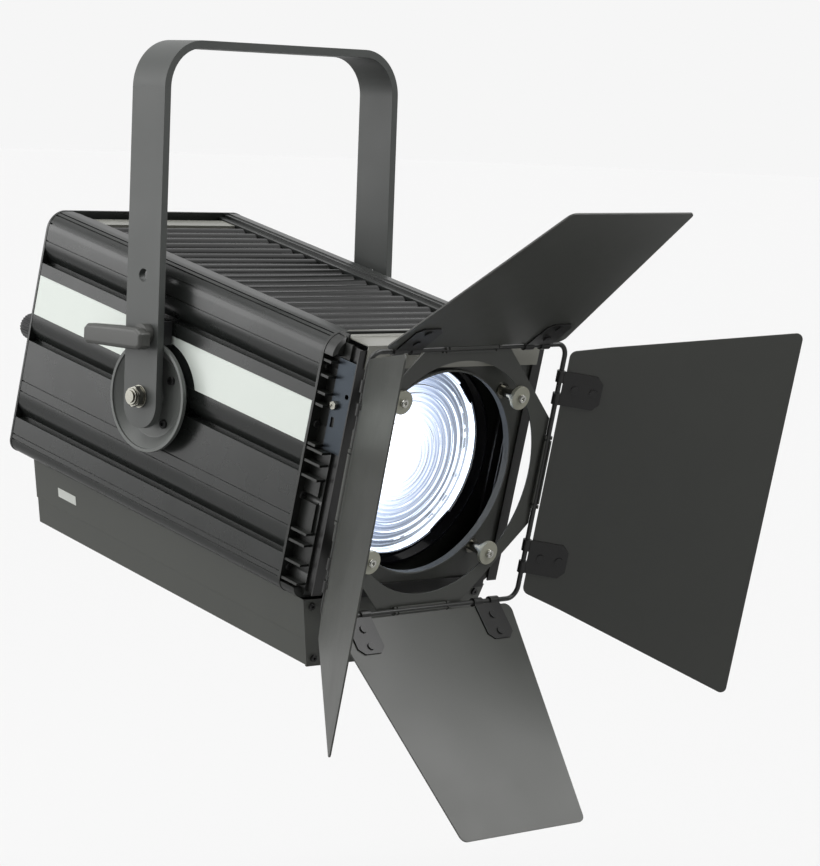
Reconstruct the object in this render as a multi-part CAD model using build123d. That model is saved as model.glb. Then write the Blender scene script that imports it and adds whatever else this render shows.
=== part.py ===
from build123d import *
import math
import os

# Fresnel spotlight with a yoke, focusing LED engine and a four-leaf barndoor.
# Origin: top face of the yoke's crossbar, at its clamp hole. +Z up, the beam leaves towards -Y.
# The head is drawn level about its tilt pivot, then set down at head_tilt.

part_gap = 0.4
running_gap = 0.08

# ---- head housing ----
half_width = 136.5
top_z = 133.0
bottom_z = -129.0
top_corner = 20.0
bottom_corner = 14.0
rear_y = 214.0
front_y = -219.5
wall = 3.0
lip_x = half_width - 42.5
strip_low = 22.0
strip_high = 64.3
plate = 2.5
plate_screw = 4.0
flange = 3.0
flange_lip = 0.6

# ---- pivot and tilt disc ----
pivot_bolt = 12.0
pivot_boss = 10.0
pivot_washer = 1.2
nut_flats = 19.0
nut_height = 7.5
disc_outer = 113.0
disc_foot = 90.0
disc_wall = 3.5
disc_floor = 5.0
disc_depth = 15.1
disc_screw = 5.0
disc_screw_circle = 64.0
head_tilt = 13.0

# ---- yoke ----
yoke_bar = 50.0
yoke_thickness = 8.0
yoke_bend = 48.0
pivot_drop = 356.0
arm_below_pivot = 32.0
clamp_hole = 13.0
spare_hole = 13.0
spare_hole_rise = 121.0
arm_inner = half_width + disc_depth + part_gap
yoke_width = 2 * (arm_inner + yoke_thickness)

# ---- tilt lock ----
lever_stud = 8.0
lever_y = -10.0
lever_z = disc_outer / 2 + 7.5
lever_reach = 78.0
shoe_half = 13.0

# ---- louvres ----
slat_count = 19
slat_first_y = rear_y - 44.5
slat_pitch = (slat_first_y - front_y - 35.5) / (slat_count - 1)
slat_half = lip_x - 2.5
slat_top = top_z - 5.0
baffle_z = top_z - 25.0
strip_depth = 21.0

# ---- front casting, runners and catch ----
cap_front = front_y - 27.5
cap_side = half_width - 11.5
cap_wall = 3.0
cap_top = top_z - 2.5
cap_base = bottom_z + 5.0
bracket_screw = 5.0
bracket_screw_y = front_y - 21.5
accessory_half = cap_side - 6.5
accessory_top = top_z - 14.5
accessory_seat = cap_base + cap_wall + 2.5
runner_sheet = 1.6
runner_lip_x = accessory_half - 4.1
runner_front = cap_front - 13.6
catch_y = front_y - 12.5
catch_z = top_z - 2.0
catch_lip_low = top_z - 25.0
catch_pin = 3.0

# ---- optics ----
lens_size = 198.0
lens_front = front_y - 2.5
lens_thickness = 10.0
lens_zones = 8
lens_dome = 26.0
barrel_wall = 2.3
barrel_outer = lens_size + 2 * barrel_wall + 11.0
barrel_front = front_y - 10.5
barrel_rear = front_y + 23.5

# ---- barndoor ----
ring_turn = 0.8
base_front = runner_front + 3.0
base_hole = barrel_outer - 3.2
roller = 10.8
stud_offset = (base_hole / 2 + 9.35) / math.sqrt(2)
washer_size = 24.0
washer_thickness = 4.0
ring_rear = base_front - 21.4
ring_thickness = 1.6
frame_half = stud_offset * math.sqrt(2) + roller / 2 + 14.25
frame_rod = 5.0
frame_y = ring_rear - frame_rod / 2 - 2.4
frame_corner = 13.0
leaf_thickness = 1.5
leaf_start = frame_rod / 2 + 2.7
narrow_half = 122.0
narrow_tip_half = 84.0
narrow_length = 249.0
wide_half = 127.0
wide_tip_half = 192.0
wide_length = 227.5
wide_corner = 6.0
fold_at = 45.0
fold_angle = 7.0
leaf_angles = {"top": 43.2, "right": 42.0, "bottom": 50.2, "left": 47.2}

# ---- lower gear housing ----
gear_top_half = half_width - 12.5
gear_bottom_half = gear_top_half - 22.0
gear_joint = bottom_z - 43.0
gear_bottom = bottom_z - 71.0
gear_rear = rear_y - 26.0
gear_front = front_y - 26.3
gear_wall = 2.0
gear_gap = 0.7
gear_screw = 4.0
socket_size = 24.0
socket_z = bottom_z - 21.0

# ---- focus engine ----
rod_x = 85.0
rod_z = bottom_z + 34.0
guide_rod = 10.0
screw_x = 24.5 - half_width
screw_size = 8.0
carriage_y = 62.0
fan_size = 120.0
fan_bore = 114.0
fan_z = 2.0


def block(x0, x1, y0, y1, z0, z1):
    return Pos((x0 + x1) / 2, (y0 + y1) / 2, (z0 + z1) / 2) * Box(x1 - x0, y1 - y0, z1 - z0)


def bar_x(radius, x0, x1, y, z):
    return Pos((x0 + x1) / 2, y, z) * Rot(0, 90, 0) * Cylinder(radius, abs(x1 - x0))


def bar_y(radius, y0, y1, x, z):
    return Pos(x, (y0 + y1) / 2, z) * Rot(90, 0, 0) * Cylinder(radius, abs(y1 - y0))


def bar_z(radius, z0, z1, x, y):
    return Pos(x, y, (z0 + z1) / 2) * Cylinder(radius, abs(z1 - z0))


def hex_x(across, x0, x1, y, z):
    flat = RegularPolygon(across / math.sqrt(3), 6)
    return Pos(x0, y, z) * Rot(0, 90, 0) * extrude(flat, x1 - x0)


def rect(x0, x1, z0, z1):
    return Pos((x0 + x1) / 2, (z0 + z1) / 2) * Rectangle(x1 - x0, z1 - z0)


def poly(*points):
    return Polygon(*points, align=None)


def along_y(section, y_rear, y_front):
    """A section drawn in x and z, run from y_rear forward to y_front."""
    return extrude(Plane.XZ.offset(-y_rear) * section, y_rear - y_front, dir=(0, -1, 0))


def along_x(section, x0, x1):
    """A section drawn in y and z, run from x0 to x1."""
    return extrude(Plane.YZ.offset(x0) * section, x1 - x0, dir=(1, 0, 0))


def mirrored(shape):
    return mirror(shape, about=Plane.YZ)


def joined(shapes):
    return Compound(children=[s for shape in shapes for s in shape.solids()])


def in_head(shape):
    return Pos(0, 0, -pivot_drop) * Rot(head_tilt, 0, 0) * shape


def in_ring(shape):
    return in_head(Rot(0, -ring_turn, 0) * shape)


def in_leaf(side, shape):
    turn = {"top": 0, "right": 90, "bottom": 180, "left": -90}[side]
    hinge = Pos(0, frame_y, frame_half) * Rot(90 + leaf_angles[side], 0, 0)
    return in_ring(Rot(0, turn, 0) * hinge * shape)


def at_pivot(shape):
    return Pos(0, 0, -pivot_drop) * shape


# ---- yoke parts, drawn about the pivot ----
def make_yoke():
    half = yoke_width / 2
    outer = rect(-half, half, -arm_below_pivot, pivot_drop)
    outer = fillet(outer.vertices().group_by(Axis.Y)[-1], yoke_bend)
    inner = rect(-arm_inner, arm_inner, -arm_below_pivot - 5, pivot_drop - yoke_thickness)
    inner = fillet(inner.vertices().group_by(Axis.Y)[-1], yoke_bend - yoke_thickness)
    bent = along_y(outer - inner, yoke_bar / 2, -yoke_bar / 2)
    side = rect(-yoke_bar / 2, yoke_bar / 2, -arm_below_pivot, pivot_drop + 5)
    side = fillet(side.vertices().group_by(Axis.Y)[0], yoke_bar / 2 - 0.5)
    bar = bent & along_x(side, -half - 5, half + 5)
    bar -= bar_z(clamp_hole / 2, pivot_drop - 20, pivot_drop + 10, 0, 0)
    bar -= bar_x(pivot_bolt / 2 + running_gap, -half - 5, half + 5, 0, 0)
    bar -= bar_x(spare_hole / 2, -half - 5, half + 5, 0, spare_hole_rise)
    bar -= bar_x(lever_stud / 2 + running_gap, -half - 5, 0, lever_y, lever_z)
    return at_pivot(bar)


def make_brake_shoe():
    low = disc_outer / 2 - 8
    shoe = block(-arm_inner, -half_width - 3.0, lever_y - shoe_half, lever_y + shoe_half, low, lever_z + 12)
    shoe -= bar_x(disc_outer / 2 + part_gap + 0.2, -arm_inner - 5, -half_width + 5, 0, 0)
    shoe -= bar_x(lever_stud / 2 + running_gap, -arm_inner - 5, -half_width + 5, lever_y, lever_z)
    return at_pivot(shoe)


def make_thrust_washers():
    washer = bar_x(17, arm_inner - 1.0, arm_inner, 0, 0)
    washer -= bar_x(pivot_bolt / 2 + running_gap, arm_inner - 5, arm_inner + 5, 0, 0)
    return at_pivot(joined([washer, mirrored(washer)]))


def make_lock_lever():
    x_arm = -yoke_width / 2 - part_gap
    hub = bar_x(9.5, x_arm - 10, x_arm, lever_y, lever_z)
    end = lever_y + lever_reach
    grip = poly(
        (lever_y - 12, lever_z - 13),
        (lever_y - 6, lever_z - 16),
        (lever_y + 20, lever_z - 16),
        (end - 4, lever_z - 14.5),
        (end, lever_z - 10),
        (end, lever_z + 1),
        (end - 5, lever_z + 5.5),
        (lever_y + 28, lever_z + 6),
        (lever_y - 4, lever_z + 5),
        (lever_y - 12, lever_z),
    )
    grip = fillet(grip.vertices(), 3.0)
    paddle = along_x(grip, x_arm - 20, x_arm - 7)
    paddle = fillet(paddle.faces().sort_by(Axis.X)[0].edges(), 4.0)
    lever = hub + paddle
    lever -= bar_x(lever_stud / 2, x_arm - 12, x_arm + 5, lever_y, lever_z)
    return at_pivot(lever)


def make_lever_stud():
    x_arm = -yoke_width / 2 - part_gap
    return at_pivot(bar_x(lever_stud / 2, x_arm - 12, -half_width - 3.5, lever_y, lever_z))


# ---- pivot parts carried by the head ----
def make_tilt_disc():
    x_lip = arm_inner - part_gap
    x_body = half_width
    lip = disc_outer / 2
    foot = disc_foot / 2
    x_floor = x_body + disc_floor
    outer = ((x_body, 0), (x_body, foot), (x_lip - 4, lip), (x_lip, lip))
    inner = ((x_lip, lip - disc_wall), (x_lip - 2, lip - disc_wall), (x_floor, foot - disc_wall), (x_floor, 0))
    outline = poly(*outer, *inner)
    disc = revolve(outline, Axis.X)
    disc += bar_x(15, x_body, arm_inner - 1.0 - part_gap, 0, 0)
    disc -= bar_x(pivot_bolt / 2, x_body - 5, x_lip + 5, 0, 0)
    for angle in (45, 135, 225, 315):
        y = disc_screw_circle / 2 * math.cos(math.radians(angle))
        z = disc_screw_circle / 2 * math.sin(math.radians(angle))
        disc -= bar_x(disc_screw / 2 + 0.1, x_body - 5, x_lip + 5, y, z)
    return disc


def make_pivot_bolts():
    x_out = yoke_width / 2 + part_gap + pivot_washer + nut_height + 4.5
    bolt = bar_x(pivot_bolt / 2, half_width - pivot_boss, x_out, 0, 0)
    bolt += hex_x(18, half_width - pivot_boss - 5, half_width - pivot_boss, 0, 0)
    return in_head(joined([bolt, mirrored(bolt)]))


def make_pivot_washers():
    x0 = yoke_width / 2 + part_gap
    washer = bar_x(11.5, x0, x0 + pivot_washer, 0, 0) - bar_x(pivot_bolt / 2, x0 - 1, x0 + 3, 0, 0)
    return in_head(joined([washer, mirrored(washer)]))


def make_pivot_nuts():
    x0 = yoke_width / 2 + part_gap + pivot_washer
    collar = bar_x(8.4, x0 + nut_height, x0 + nut_height + 3, 0, 0)
    nut = hex_x(nut_flats, x0, x0 + nut_height, 0, 0) & bar_x(nut_flats * 0.565, x0, x0 + nut_height, 0, 0)
    nut += collar
    nut -= bar_x(pivot_bolt / 2, x0 - 1, x0 + 20, 0, 0)
    return in_head(joined([nut, mirrored(nut)]))


def make_disc_screws():
    screws = []
    for angle in (45, 135, 225, 315):
        y = disc_screw_circle / 2 * math.cos(math.radians(angle))
        z = disc_screw_circle / 2 * math.sin(math.radians(angle))
        shank = bar_x(disc_screw / 2, half_width - wall - 2, half_width + disc_floor, y, z)
        screw = shank + bar_x(disc_screw * 0.9, half_width + disc_floor, half_width + disc_floor + 3, y, z)
        screws += [screw, mirrored(screw)]
    return in_head(joined(screws))


# ---- housing ----
def body_outline(grow=0.0):
    shape = rect(-half_width - grow, half_width + grow, bottom_z - grow, top_z + grow)
    upper = shape.vertices().group_by(Axis.Y)[-1]
    shape = fillet(upper, top_corner + grow)
    lower = [v for v in shape.vertices() if v.Y < bottom_z - grow + 0.1]
    return fillet(lower, bottom_corner + grow)


course_steps = (77.4, -6.7, -90.4)
groove_heights = (101.5, -50.5, -61.8, -108.6, -114.2)
corner_grooves = (21, 52, 66)
boss_heights = (100.0, 42.0, -30.0, -103.0)
boss_x = half_width - 7.5


def course_cut(step, depth, low, run):
    x_in = half_width - depth
    return poly(
        (half_width + 5, step - low),
        (x_in, step - low),
        (x_in, step + 2.0),
        (half_width - 2, step + run - 5),
        (half_width, step + run),
        (half_width + 5, step + run),
    )


def panel_shell():
    ring = body_outline() - body_outline(-wall)
    panel = along_y(ring, rear_y, front_y)
    panel -= block(-200, lip_x + 6, front_y - 1, rear_y + 1, bottom_z - 1, top_z + 1)
    panel -= block(lip_x - 4, lip_x + 14, front_y - 1, rear_y + 1, top_z - 13, top_z + 1)
    panel += block(lip_x, lip_x + 10, front_y, rear_y, top_z - 6.5, top_z - 4)
    panel += block(lip_x + 8, lip_x + 14.5, front_y, rear_y, top_z - 6.5, top_z - 1.2)
    return panel + block(lip_x + 14, lip_x + 20, front_y, rear_y, top_z - 5, top_z - 2.8)


def make_side_panel():
    panel = panel_shell()
    inside = along_y(body_outline(-wall / 2), rear_y, front_y)
    for step in course_steps:
        panel += along_y(course_cut(step, 12.0, 3.0, 19.0), rear_y, front_y) & inside
    panel += block(half_width - 4.6, half_width - 2, front_y, rear_y, strip_low - 3, strip_high + 3)
    for height in boss_heights:
        panel += block(boss_x - 4.5, half_width - 1.5, front_y, rear_y, height - 4.5, height + 4.5) & inside
    for step in course_steps:
        panel -= along_y(course_cut(step, 9.0, 0.0, 16.5), rear_y + 1, front_y - 1)
    panel -= block(half_width - 1.2, half_width + 5, front_y - 1, rear_y + 1, strip_low, strip_high)
    for height in groove_heights:
        groove = block(half_width - 1.4, half_width + 5, front_y - 1, rear_y + 1, -0.7, 0.7)
        panel -= Pos(0, 0, height) * groove
    for angle in corner_grooves:
        cut = Rot(0, 0, angle) * rect(top_corner - 1.5, top_corner + 3, -0.8, 0.8)
        panel -= along_y(Pos(half_width - top_corner, top_z - top_corner) * cut, rear_y + 1, front_y - 1)
    for height in boss_heights:
        panel -= bar_y(plate_screw / 2, front_y - 1, front_y + 14, boss_x, height)
        panel -= bar_y(plate_screw / 2, rear_y - 14, rear_y + 1, boss_x, height)
    panel += bar_x(20, half_width - pivot_boss, half_width, 0, 0)
    panel -= bar_x(14, half_width - 30, half_width - pivot_boss, 0, 0)
    panel -= bar_x(pivot_bolt / 2, half_width - 30, half_width + 5, 0, 0)
    for angle in (45, 135, 225, 315):
        y = disc_screw_circle / 2 * math.cos(math.radians(angle))
        z = disc_screw_circle / 2 * math.sin(math.radians(angle))
        panel -= bar_x(disc_screw / 2, half_width - 30, half_width + 5, y, z)
    return panel


def make_side_strips():
    face = half_width - 0.2
    strip = block(face - 1.0, face, front_y + 1, rear_y - 0.5, strip_low + 0.2, strip_high - 0.2)
    strip -= bar_x(disc_outer / 2 + 0.5, half_width - 5, half_width + 5, 0, 0)
    return in_head(joined([strip, mirrored(strip)]))


def make_rear_plate():
    back = along_y(body_outline(part_gap), rear_y + plate, rear_y)
    back += bar_y(10, rear_y - 9, rear_y, screw_x, 0)
    back -= bar_y(screw_size / 2 + running_gap, rear_y - 20, rear_y + 20, screw_x, 0)
    for side in (-1, 1):
        for height in boss_heights:
            back -= bar_y(plate_screw / 2 + 0.1, rear_y - 1, rear_y + 10, side * boss_x, height)
    for column in range(9):
        slot = rect(-2, 2, -45, 45)
        slot = fillet(slot.vertices(), 1.9)
        back -= along_y(Pos(-48 + column * 12, 10) * slot, rear_y + plate + 1, rear_y - 1)
    return in_head(back)


def make_plate_screws(y_face, forward):
    screws = []
    for side in (-1, 1):
        for height in boss_heights:
            shank = bar_y(plate_screw / 2, y_face, y_face - forward * 12, side * boss_x, height)
            head = bar_y(3.8, y_face, y_face + forward * 2.2, side * boss_x, height)
            head -= bar_y(1.2, y_face + forward * 1.0, y_face + forward * 5, side * boss_x, height)
            screws.append(shank + head)
    return in_head(joined(screws))


def make_louvre_rails():
    rail = block(slat_half + 0.2, lip_x - 0.2, front_y + 12, rear_y - 8, baffle_z + 1.5, top_z - 4)
    return in_head(joined([rail, mirrored(rail)]))


def slat_section():
    crest = ((2.2, -3.4), (1.4, -0.8), (-0.6, 0.0), (-3.0, -0.3), (-6.5, -1.9), (-10.0, -4.8), (-12.6, -9.0))
    under = ((-11.2, -9.8), (-8.7, -6.2), (-5.6, -3.7), (-2.6, -2.2), (-0.6, -1.8), (0.2, -2.4), (0.8, -4.0))
    return poly(*crest, *under)


def make_louvre_slats():
    slats = []
    for index in range(slat_count):
        slat = along_x(slat_section(), -slat_half, slat_half)
        slats.append(Pos(0, slat_first_y - index * slat_pitch, slat_top) * slat)
    return in_head(joined(slats))


def make_top_strips():
    half = strip_depth / 2
    section = rect(-half, half, slat_top - 2, slat_top - 0.3)
    section += rect(-half, 1.5 - half, baffle_z + 1.5, slat_top - 2)
    section += rect(half - 1.5, half, baffle_z + 1.5, slat_top - 2)
    strip = along_x(section, -slat_half, slat_half)
    rear = Pos(0, slat_first_y + 23.0, 0) * strip
    front = Pos(0, front_y + 11.0, 0) * strip
    return in_head(joined([rear, front]))


def make_baffle():
    half = half_width - wall - 0.5
    return in_head(block(-half, half, front_y + 0.5, rear_y - 0.5, baffle_z, baffle_z + 1.5))


def make_floor_plate():
    half = half_width - 20.5
    return in_head(block(-half, half, front_y + 0.5, rear_y - 0.5, bottom_z + wall, bottom_z + wall + 1.5))


# ---- front casting ----
low_ribs = (17.5, 4.9, -9.9, -64.5, -76.0, -96.0, -115.0)
high_ribs = (22.0, 61.5, 73.5, 90.5, 105.5)
rib_thickness = 2.5


def make_front_cap():
    y_back = front_y - flange
    cap = along_y(body_outline(flange_lip), front_y, y_back)
    cap -= bar_y(barrel_outer / 2 + 0.1, front_y + 1, y_back - 1, 0, 0)
    box = along_y(rect(-cap_side, cap_side, cap_base, cap_top), y_back, cap_front)
    inner = cap_side - cap_wall
    box -= along_y(rect(-inner, inner, cap_base + cap_wall, cap_top - cap_wall), y_back + 1, cap_front - 1)
    box -= block(-200, 200, cap_front - 1, catch_y + 3.2, cap_top - cap_wall - 0.1, cap_top + 9)
    cap += box
    for low in low_ribs:
        rib = block(cap_side - 0.5, half_width - 0.5, cap_front + 1.5, y_back, low, low + rib_thickness)
        cap += rib + mirrored(rib)
    for low in high_ribs:
        rib = block(cap_side - 0.5, half_width - 0.5, cap_front + 13, y_back, low, low + rib_thickness)
        cap += rib + mirrored(rib)
    raised = block(cap_side - 0.5, cap_side + 3, cap_front + 4, y_back, -62.0, -10.0)
    cap += raised + mirrored(raised)
    corner = along_y(body_outline() & rect(cap_side - 2.2, 400, top_z - 20, 400), y_back, cap_front + 9.5)
    corner = chamfer(corner.faces().sort_by(Axis.Y)[0].edges(), 3)
    cap += corner + mirrored(corner)
    lower = along_y((body_outline() & rect(cap_side - 15, 400, -400, bottom_z + 11)), y_back, cap_front + 4)
    lower -= block(inner - 22, inner, cap_front - 1, y_back + 1, cap_base + 1, cap_base + 24)
    cap += lower + mirrored(lower)
    lug = block(accessory_half + 0.5, inner - 0.2, catch_y - 4, y_back, cap_top - cap_wall, catch_z + 4)
    lug -= bar_x(catch_pin / 2 + running_gap, 100, half_width, catch_y, catch_z)
    cap += lug + mirrored(lug)
    for side in (-1, 1):
        for height in boss_heights:
            cap -= bar_y(plate_screw / 2 + 0.1, front_y + 1, front_y - 4, side * boss_x, height)
            cap -= bar_y(4.2, y_back, cap_front - 1, side * boss_x, height)
        cap -= bar_x(bracket_screw / 2 + 0.05, side * (inner - 20), side * (cap_side + 20), bracket_screw_y, 66.0)
    return in_head(cap)


def make_runners():
    z_low = cap_base + cap_wall
    z_high = top_z - 7.0
    wall_x = cap_side - cap_wall
    lips = runner_lip_x - 4.1
    flange_y = runner_front + runner_sheet
    side = block(wall_x - 1.5, wall_x, flange_y, cap_front + 12, z_low, z_high)
    for y in (cap_front + 10.5, cap_front - 0.5):
        side += block(lips, wall_x - 1.5, y, y + 1.5, z_low, z_high)
    side += block(runner_lip_x, cap_side + 2, runner_front, flange_y, z_low, z_high)
    side -= bar_x(bracket_screw / 2 + 0.2, wall_x - 20, wall_x + 20, bracket_screw_y, 66.0)
    foot = lips - 1.3
    seat = accessory_seat
    base = block(-foot, foot, flange_y, cap_front + 12, z_low, seat)
    base += block(-foot, foot, runner_front, flange_y, z_low - 6, seat + 4.1)
    base += block(-foot, foot, cap_front - 0.5, cap_front + 1, z_low, seat + 8.2)
    return in_head(joined([side, mirrored(side), base]))


def make_brackets():
    bracket = block(cap_side, cap_side + 1.5, runner_front + 1.8, cap_front + 12, 20.5, top_z - 21)
    bracket -= bar_x(bracket_screw / 2 + 0.1, cap_side - 5, cap_side + 15, bracket_screw_y, 66.0)
    slot_y = bracket_screw_y
    bracket -= block(cap_side - 5, cap_side + 15, slot_y - 2.5, slot_y + 2.5, 44.0, 54.0)
    bracket -= bar_x(bracket_screw / 2 + 0.1, cap_side - 5, cap_side + 15, bracket_screw_y - 13, 78.0)
    return in_head(joined([bracket, mirrored(bracket)]))


def make_bracket_screws():
    x0 = cap_side + 1.5
    screw = bar_x(bracket_screw / 2, cap_side - cap_wall - 0.1, x0 + 6.5, bracket_screw_y, 66.0)
    screw += hex_x(8, x0, x0 + 4, bracket_screw_y, 66.0)
    return in_head(joined([screw, mirrored(screw)]))


def make_catch():
    half = accessory_half - 0.1
    front = runner_front - 1.9
    bar = block(-half, half, front, catch_y - 1, catch_z - 0.7, catch_z + 0.7)
    bar += block(-half, half, front, front + 1.4, catch_lip_low, catch_z + 0.7)
    bar += bar_x(catch_pin / 2 + 1.3, -half, half, catch_y, catch_z)
    bar += bar_x(catch_pin / 2, -half - 4.1, half + 4.1, catch_y, catch_z)
    return in_head(bar)


# ---- optics ----
def make_lens_barrel():
    outer = barrel_outer / 2
    inner = outer - barrel_wall
    tube = bar_y(outer, barrel_front, barrel_rear, 0, 0)
    tube -= bar_y(inner, barrel_front - 1, barrel_rear + 1, 0, 0)
    seat_front = lens_front + lens_thickness
    seat = bar_y(inner + 1, seat_front, seat_front + 2.5, 0, 0)
    tube += seat - bar_y(lens_size / 2 - 5, seat_front - 1, seat_front + 4, 0, 0)
    tube = tube & bar_y(outer, barrel_front, barrel_rear, 0, 0)
    return in_head(tube)


def make_lens():
    radius = lens_size / 2
    back = lens_front + lens_thickness
    crest = lens_front + 1.0
    pitch = (radius - 5 - lens_dome) / lens_zones
    points = [(0, back), (radius, back), (radius, crest + 1.5), (radius - 5, crest + 1.5)]
    for zone in range(lens_zones, 0, -1):
        depth = 5.0 * (zone + 1) / (lens_zones + 1)
        points.append((lens_dome + zone * pitch, crest + depth))
        points.append((lens_dome + (zone - 1) * pitch, crest))
    points += [(lens_dome, crest + 1.2), (lens_dome * 0.75, crest + 0.6)]
    points += [(lens_dome * 0.4, crest + 0.15), (0, crest)]
    section = make_face(Polyline(*[(x, y, 0) for x, y in points], close=True))
    return in_head(revolve(section, Axis.Y))


def make_lens_ring():
    ring_face = lens_front - 1.8
    ring = bar_y(barrel_outer / 2 - barrel_wall, ring_face, lens_front + 0.9, 0, 0)
    ring -= bar_y(lens_size / 2 - 1.9, ring_face - 1, lens_front + 2, 0, 0)
    for quarter in range(4):
        clip = block(-14, 14, ring_face, ring_face + 1.6, lens_size / 2 - 5, lens_size / 2 + 2)
        ring += Rot(0, 45 + 90 * quarter, 0) * clip
    return in_head(ring)


# ---- lower gear housing ----
def gear_half(z):
    share = (bottom_z - z) / (bottom_z - gear_bottom)
    return gear_top_half + (gear_bottom_half - gear_top_half) * share


def gear_section(z_high, z_low, inset):
    high = gear_half(z_high) - inset
    low = gear_half(z_low) - inset
    return poly((-high, z_high), (high, z_high), (low, z_low), (-low, z_low))


gear_screw_places = (
    (12 - gear_top_half, bottom_z - 8),
    (gear_top_half - 12, bottom_z - 8),
    (6 - gear_bottom_half, gear_bottom + 8),
    (gear_bottom_half - 6, gear_bottom + 8),
)


def gear_bosses(places, z_high, z_low, inset):
    shell = along_y(gear_section(z_high, z_low, inset + 0.5), gear_front + 14, gear_front)
    bosses = []
    for x, z in places:
        side = 1 if x > 0 else -1
        near = x - side * 5
        far = side * gear_top_half * 1.1
        reach = block(min(near, far), max(near, far), gear_front, gear_front + 14, z - 5, z + 5)
        bosses.append((reach & shell) - bar_y(gear_screw / 2, gear_front - 1, gear_front + 15, x, z))
    return bosses


def make_gear_box():
    z_high = bottom_z - gear_gap
    box = along_y(gear_section(z_high, gear_joint, 0), gear_rear, gear_front)
    hollow = gear_section(z_high + 5, gear_joint - 5, gear_wall)
    box -= along_y(hollow, gear_rear - gear_wall, gear_front - 1)
    for boss in gear_bosses(gear_screw_places[:2], z_high, gear_joint, 0):
        box += boss
    for x in (-50, 15, 50):
        box -= bar_y(socket_size / 2, gear_rear - 5, gear_rear + 5, x, socket_z)
    return in_head(box)


def make_gear_cover():
    z_high = gear_joint - 0.4
    cover = along_y(gear_section(z_high, gear_bottom, 0.8), gear_rear - 0.5, gear_front)
    hollow = gear_section(z_high + 5, gear_bottom + gear_wall, 0.8 + gear_wall)
    cover -= along_y(hollow, gear_rear - 0.5 - gear_wall, gear_front - 1)
    for boss in gear_bosses(gear_screw_places[2:], z_high, gear_bottom, 0.8):
        cover += boss
    return in_head(cover)


def make_gear_front():
    front = along_y(gear_section(bottom_z - gear_gap, gear_bottom - 0.5, -1.0), gear_front, gear_front - 2)
    for x, z in gear_screw_places:
        front -= bar_y(gear_screw / 2, gear_front + 1, gear_front - 5, x, z)
    return in_head(front)


def make_gear_screws():
    screws = []
    for x, z in gear_screw_places:
        shank = bar_y(gear_screw / 2, gear_front + 6, gear_front - 2, x, z)
        screws.append(shank + bar_y(gear_screw * 0.95, gear_front - 2, gear_front - 4.2, x, z))
    return in_head(joined(screws))


def make_driver():
    floor = gear_bottom + gear_wall
    unit = block(-45, 45, -60, 130, floor, floor + 38)
    unit = fillet(unit.edges().filter_by(Axis.Y), 3)
    return in_head(unit)


def make_control_board():
    floor = gear_bottom + gear_wall
    board = block(-60, 60, -200, -90, floor + 8, floor + 9.6)
    for x in (-54, 54):
        for y in (-194, -96):
            board += bar_z(3, floor, floor + 8.5, x, y)
    for index in range(5):
        board += block(-50 + index * 20, -38 + index * 20, -160, -140, floor + 9.6, floor + 20)
    return in_head(board)


def socket(x):
    radius = socket_size / 2
    body = bar_y(radius, gear_rear - 22, gear_rear, x, socket_z)
    body += bar_y(radius + 3, gear_rear, gear_rear + 3, x, socket_z)
    return body - bar_y(radius - 3, gear_rear - 12, gear_rear + 5, x, socket_z)


def make_data_sockets():
    return in_head(joined([socket(15), socket(50)]))


def make_inlet():
    return in_head(socket(-50))


# ---- focus engine ----
def make_guide_rods():
    rod = bar_y(guide_rod / 2, front_y, rear_y, rod_x, rod_z)
    return in_head(joined([rod, mirrored(rod)]))


def make_carriage():
    frame = block(screw_x - 4, rod_x + 11, carriage_y - 2, carriage_y + 2, rod_z - 11, 92)
    frame -= bar_y(30, carriage_y - 5, carriage_y + 5, 0, 0)
    for side in (-1, 1):
        frame += bar_y(guide_rod / 2 + 4, carriage_y - 10, carriage_y + 10, side * rod_x, rod_z)
        frame -= bar_y(guide_rod / 2 + running_gap, carriage_y - 15, carriage_y + 15, side * rod_x, rod_z)
    frame += bar_y(screw_size / 2 + 3.5, carriage_y - 8, carriage_y + 8, screw_x, 0)
    frame -= bar_y(screw_size / 2 + running_gap, carriage_y - 15, carriage_y + 15, screw_x, 0)
    return in_head(frame)


def make_heat_sink():
    y0 = carriage_y + 2
    sink = block(-80, 80, y0, y0 + 7, -80, 85)
    for index in range(17):
        x = -80 + index * 9.85
        sink += block(x, x + 2.4, y0 + 6.5, y0 + 50, -80, 85)
    return in_head(sink)


def make_led_module():
    y0 = carriage_y + 2
    module = block(-20, 20, y0 - 5, y0, -20, 20) + bar_y(17, y0 - 8, y0 - 5, 0, 0)
    return in_head(module)


def make_fan_frame():
    y0 = carriage_y + 52
    half = fan_size / 2
    bore = fan_bore / 2
    frame = block(-half, half, y0, y0 + 25, fan_z - half, fan_z + half)
    frame -= bar_y(bore, y0 - 1, y0 + 23, 0, fan_z)
    guard = bar_y(bore, y0 + 22, y0 + 26, 0, fan_z) - bar_y(20, y0 + 22, y0 + 26, 0, fan_z)
    frame -= guard - block(-half, half, y0 + 22, y0 + 26, fan_z - 2, fan_z + 2)
    frame += bar_y(3, y0 + 12, y0 + 24, 0, fan_z)
    return in_head(frame)


def make_fan_rotor():
    y0 = carriage_y + 53
    rotor = bar_y(19, y0, y0 + 20, 0, fan_z)
    blade = Pos(0, y0 + 10, 0) * Rot(28, 0, 0) * block(14, fan_bore / 2 - 3, -7, 7, -0.8, 0.8)
    for index in range(7):
        rotor += Pos(0, 0, fan_z) * Rot(0, index * 360 / 7, 0) * blade
    rotor -= bar_y(3 + running_gap, y0 + 9, y0 + 25, 0, fan_z)
    return in_head(rotor)


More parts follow.
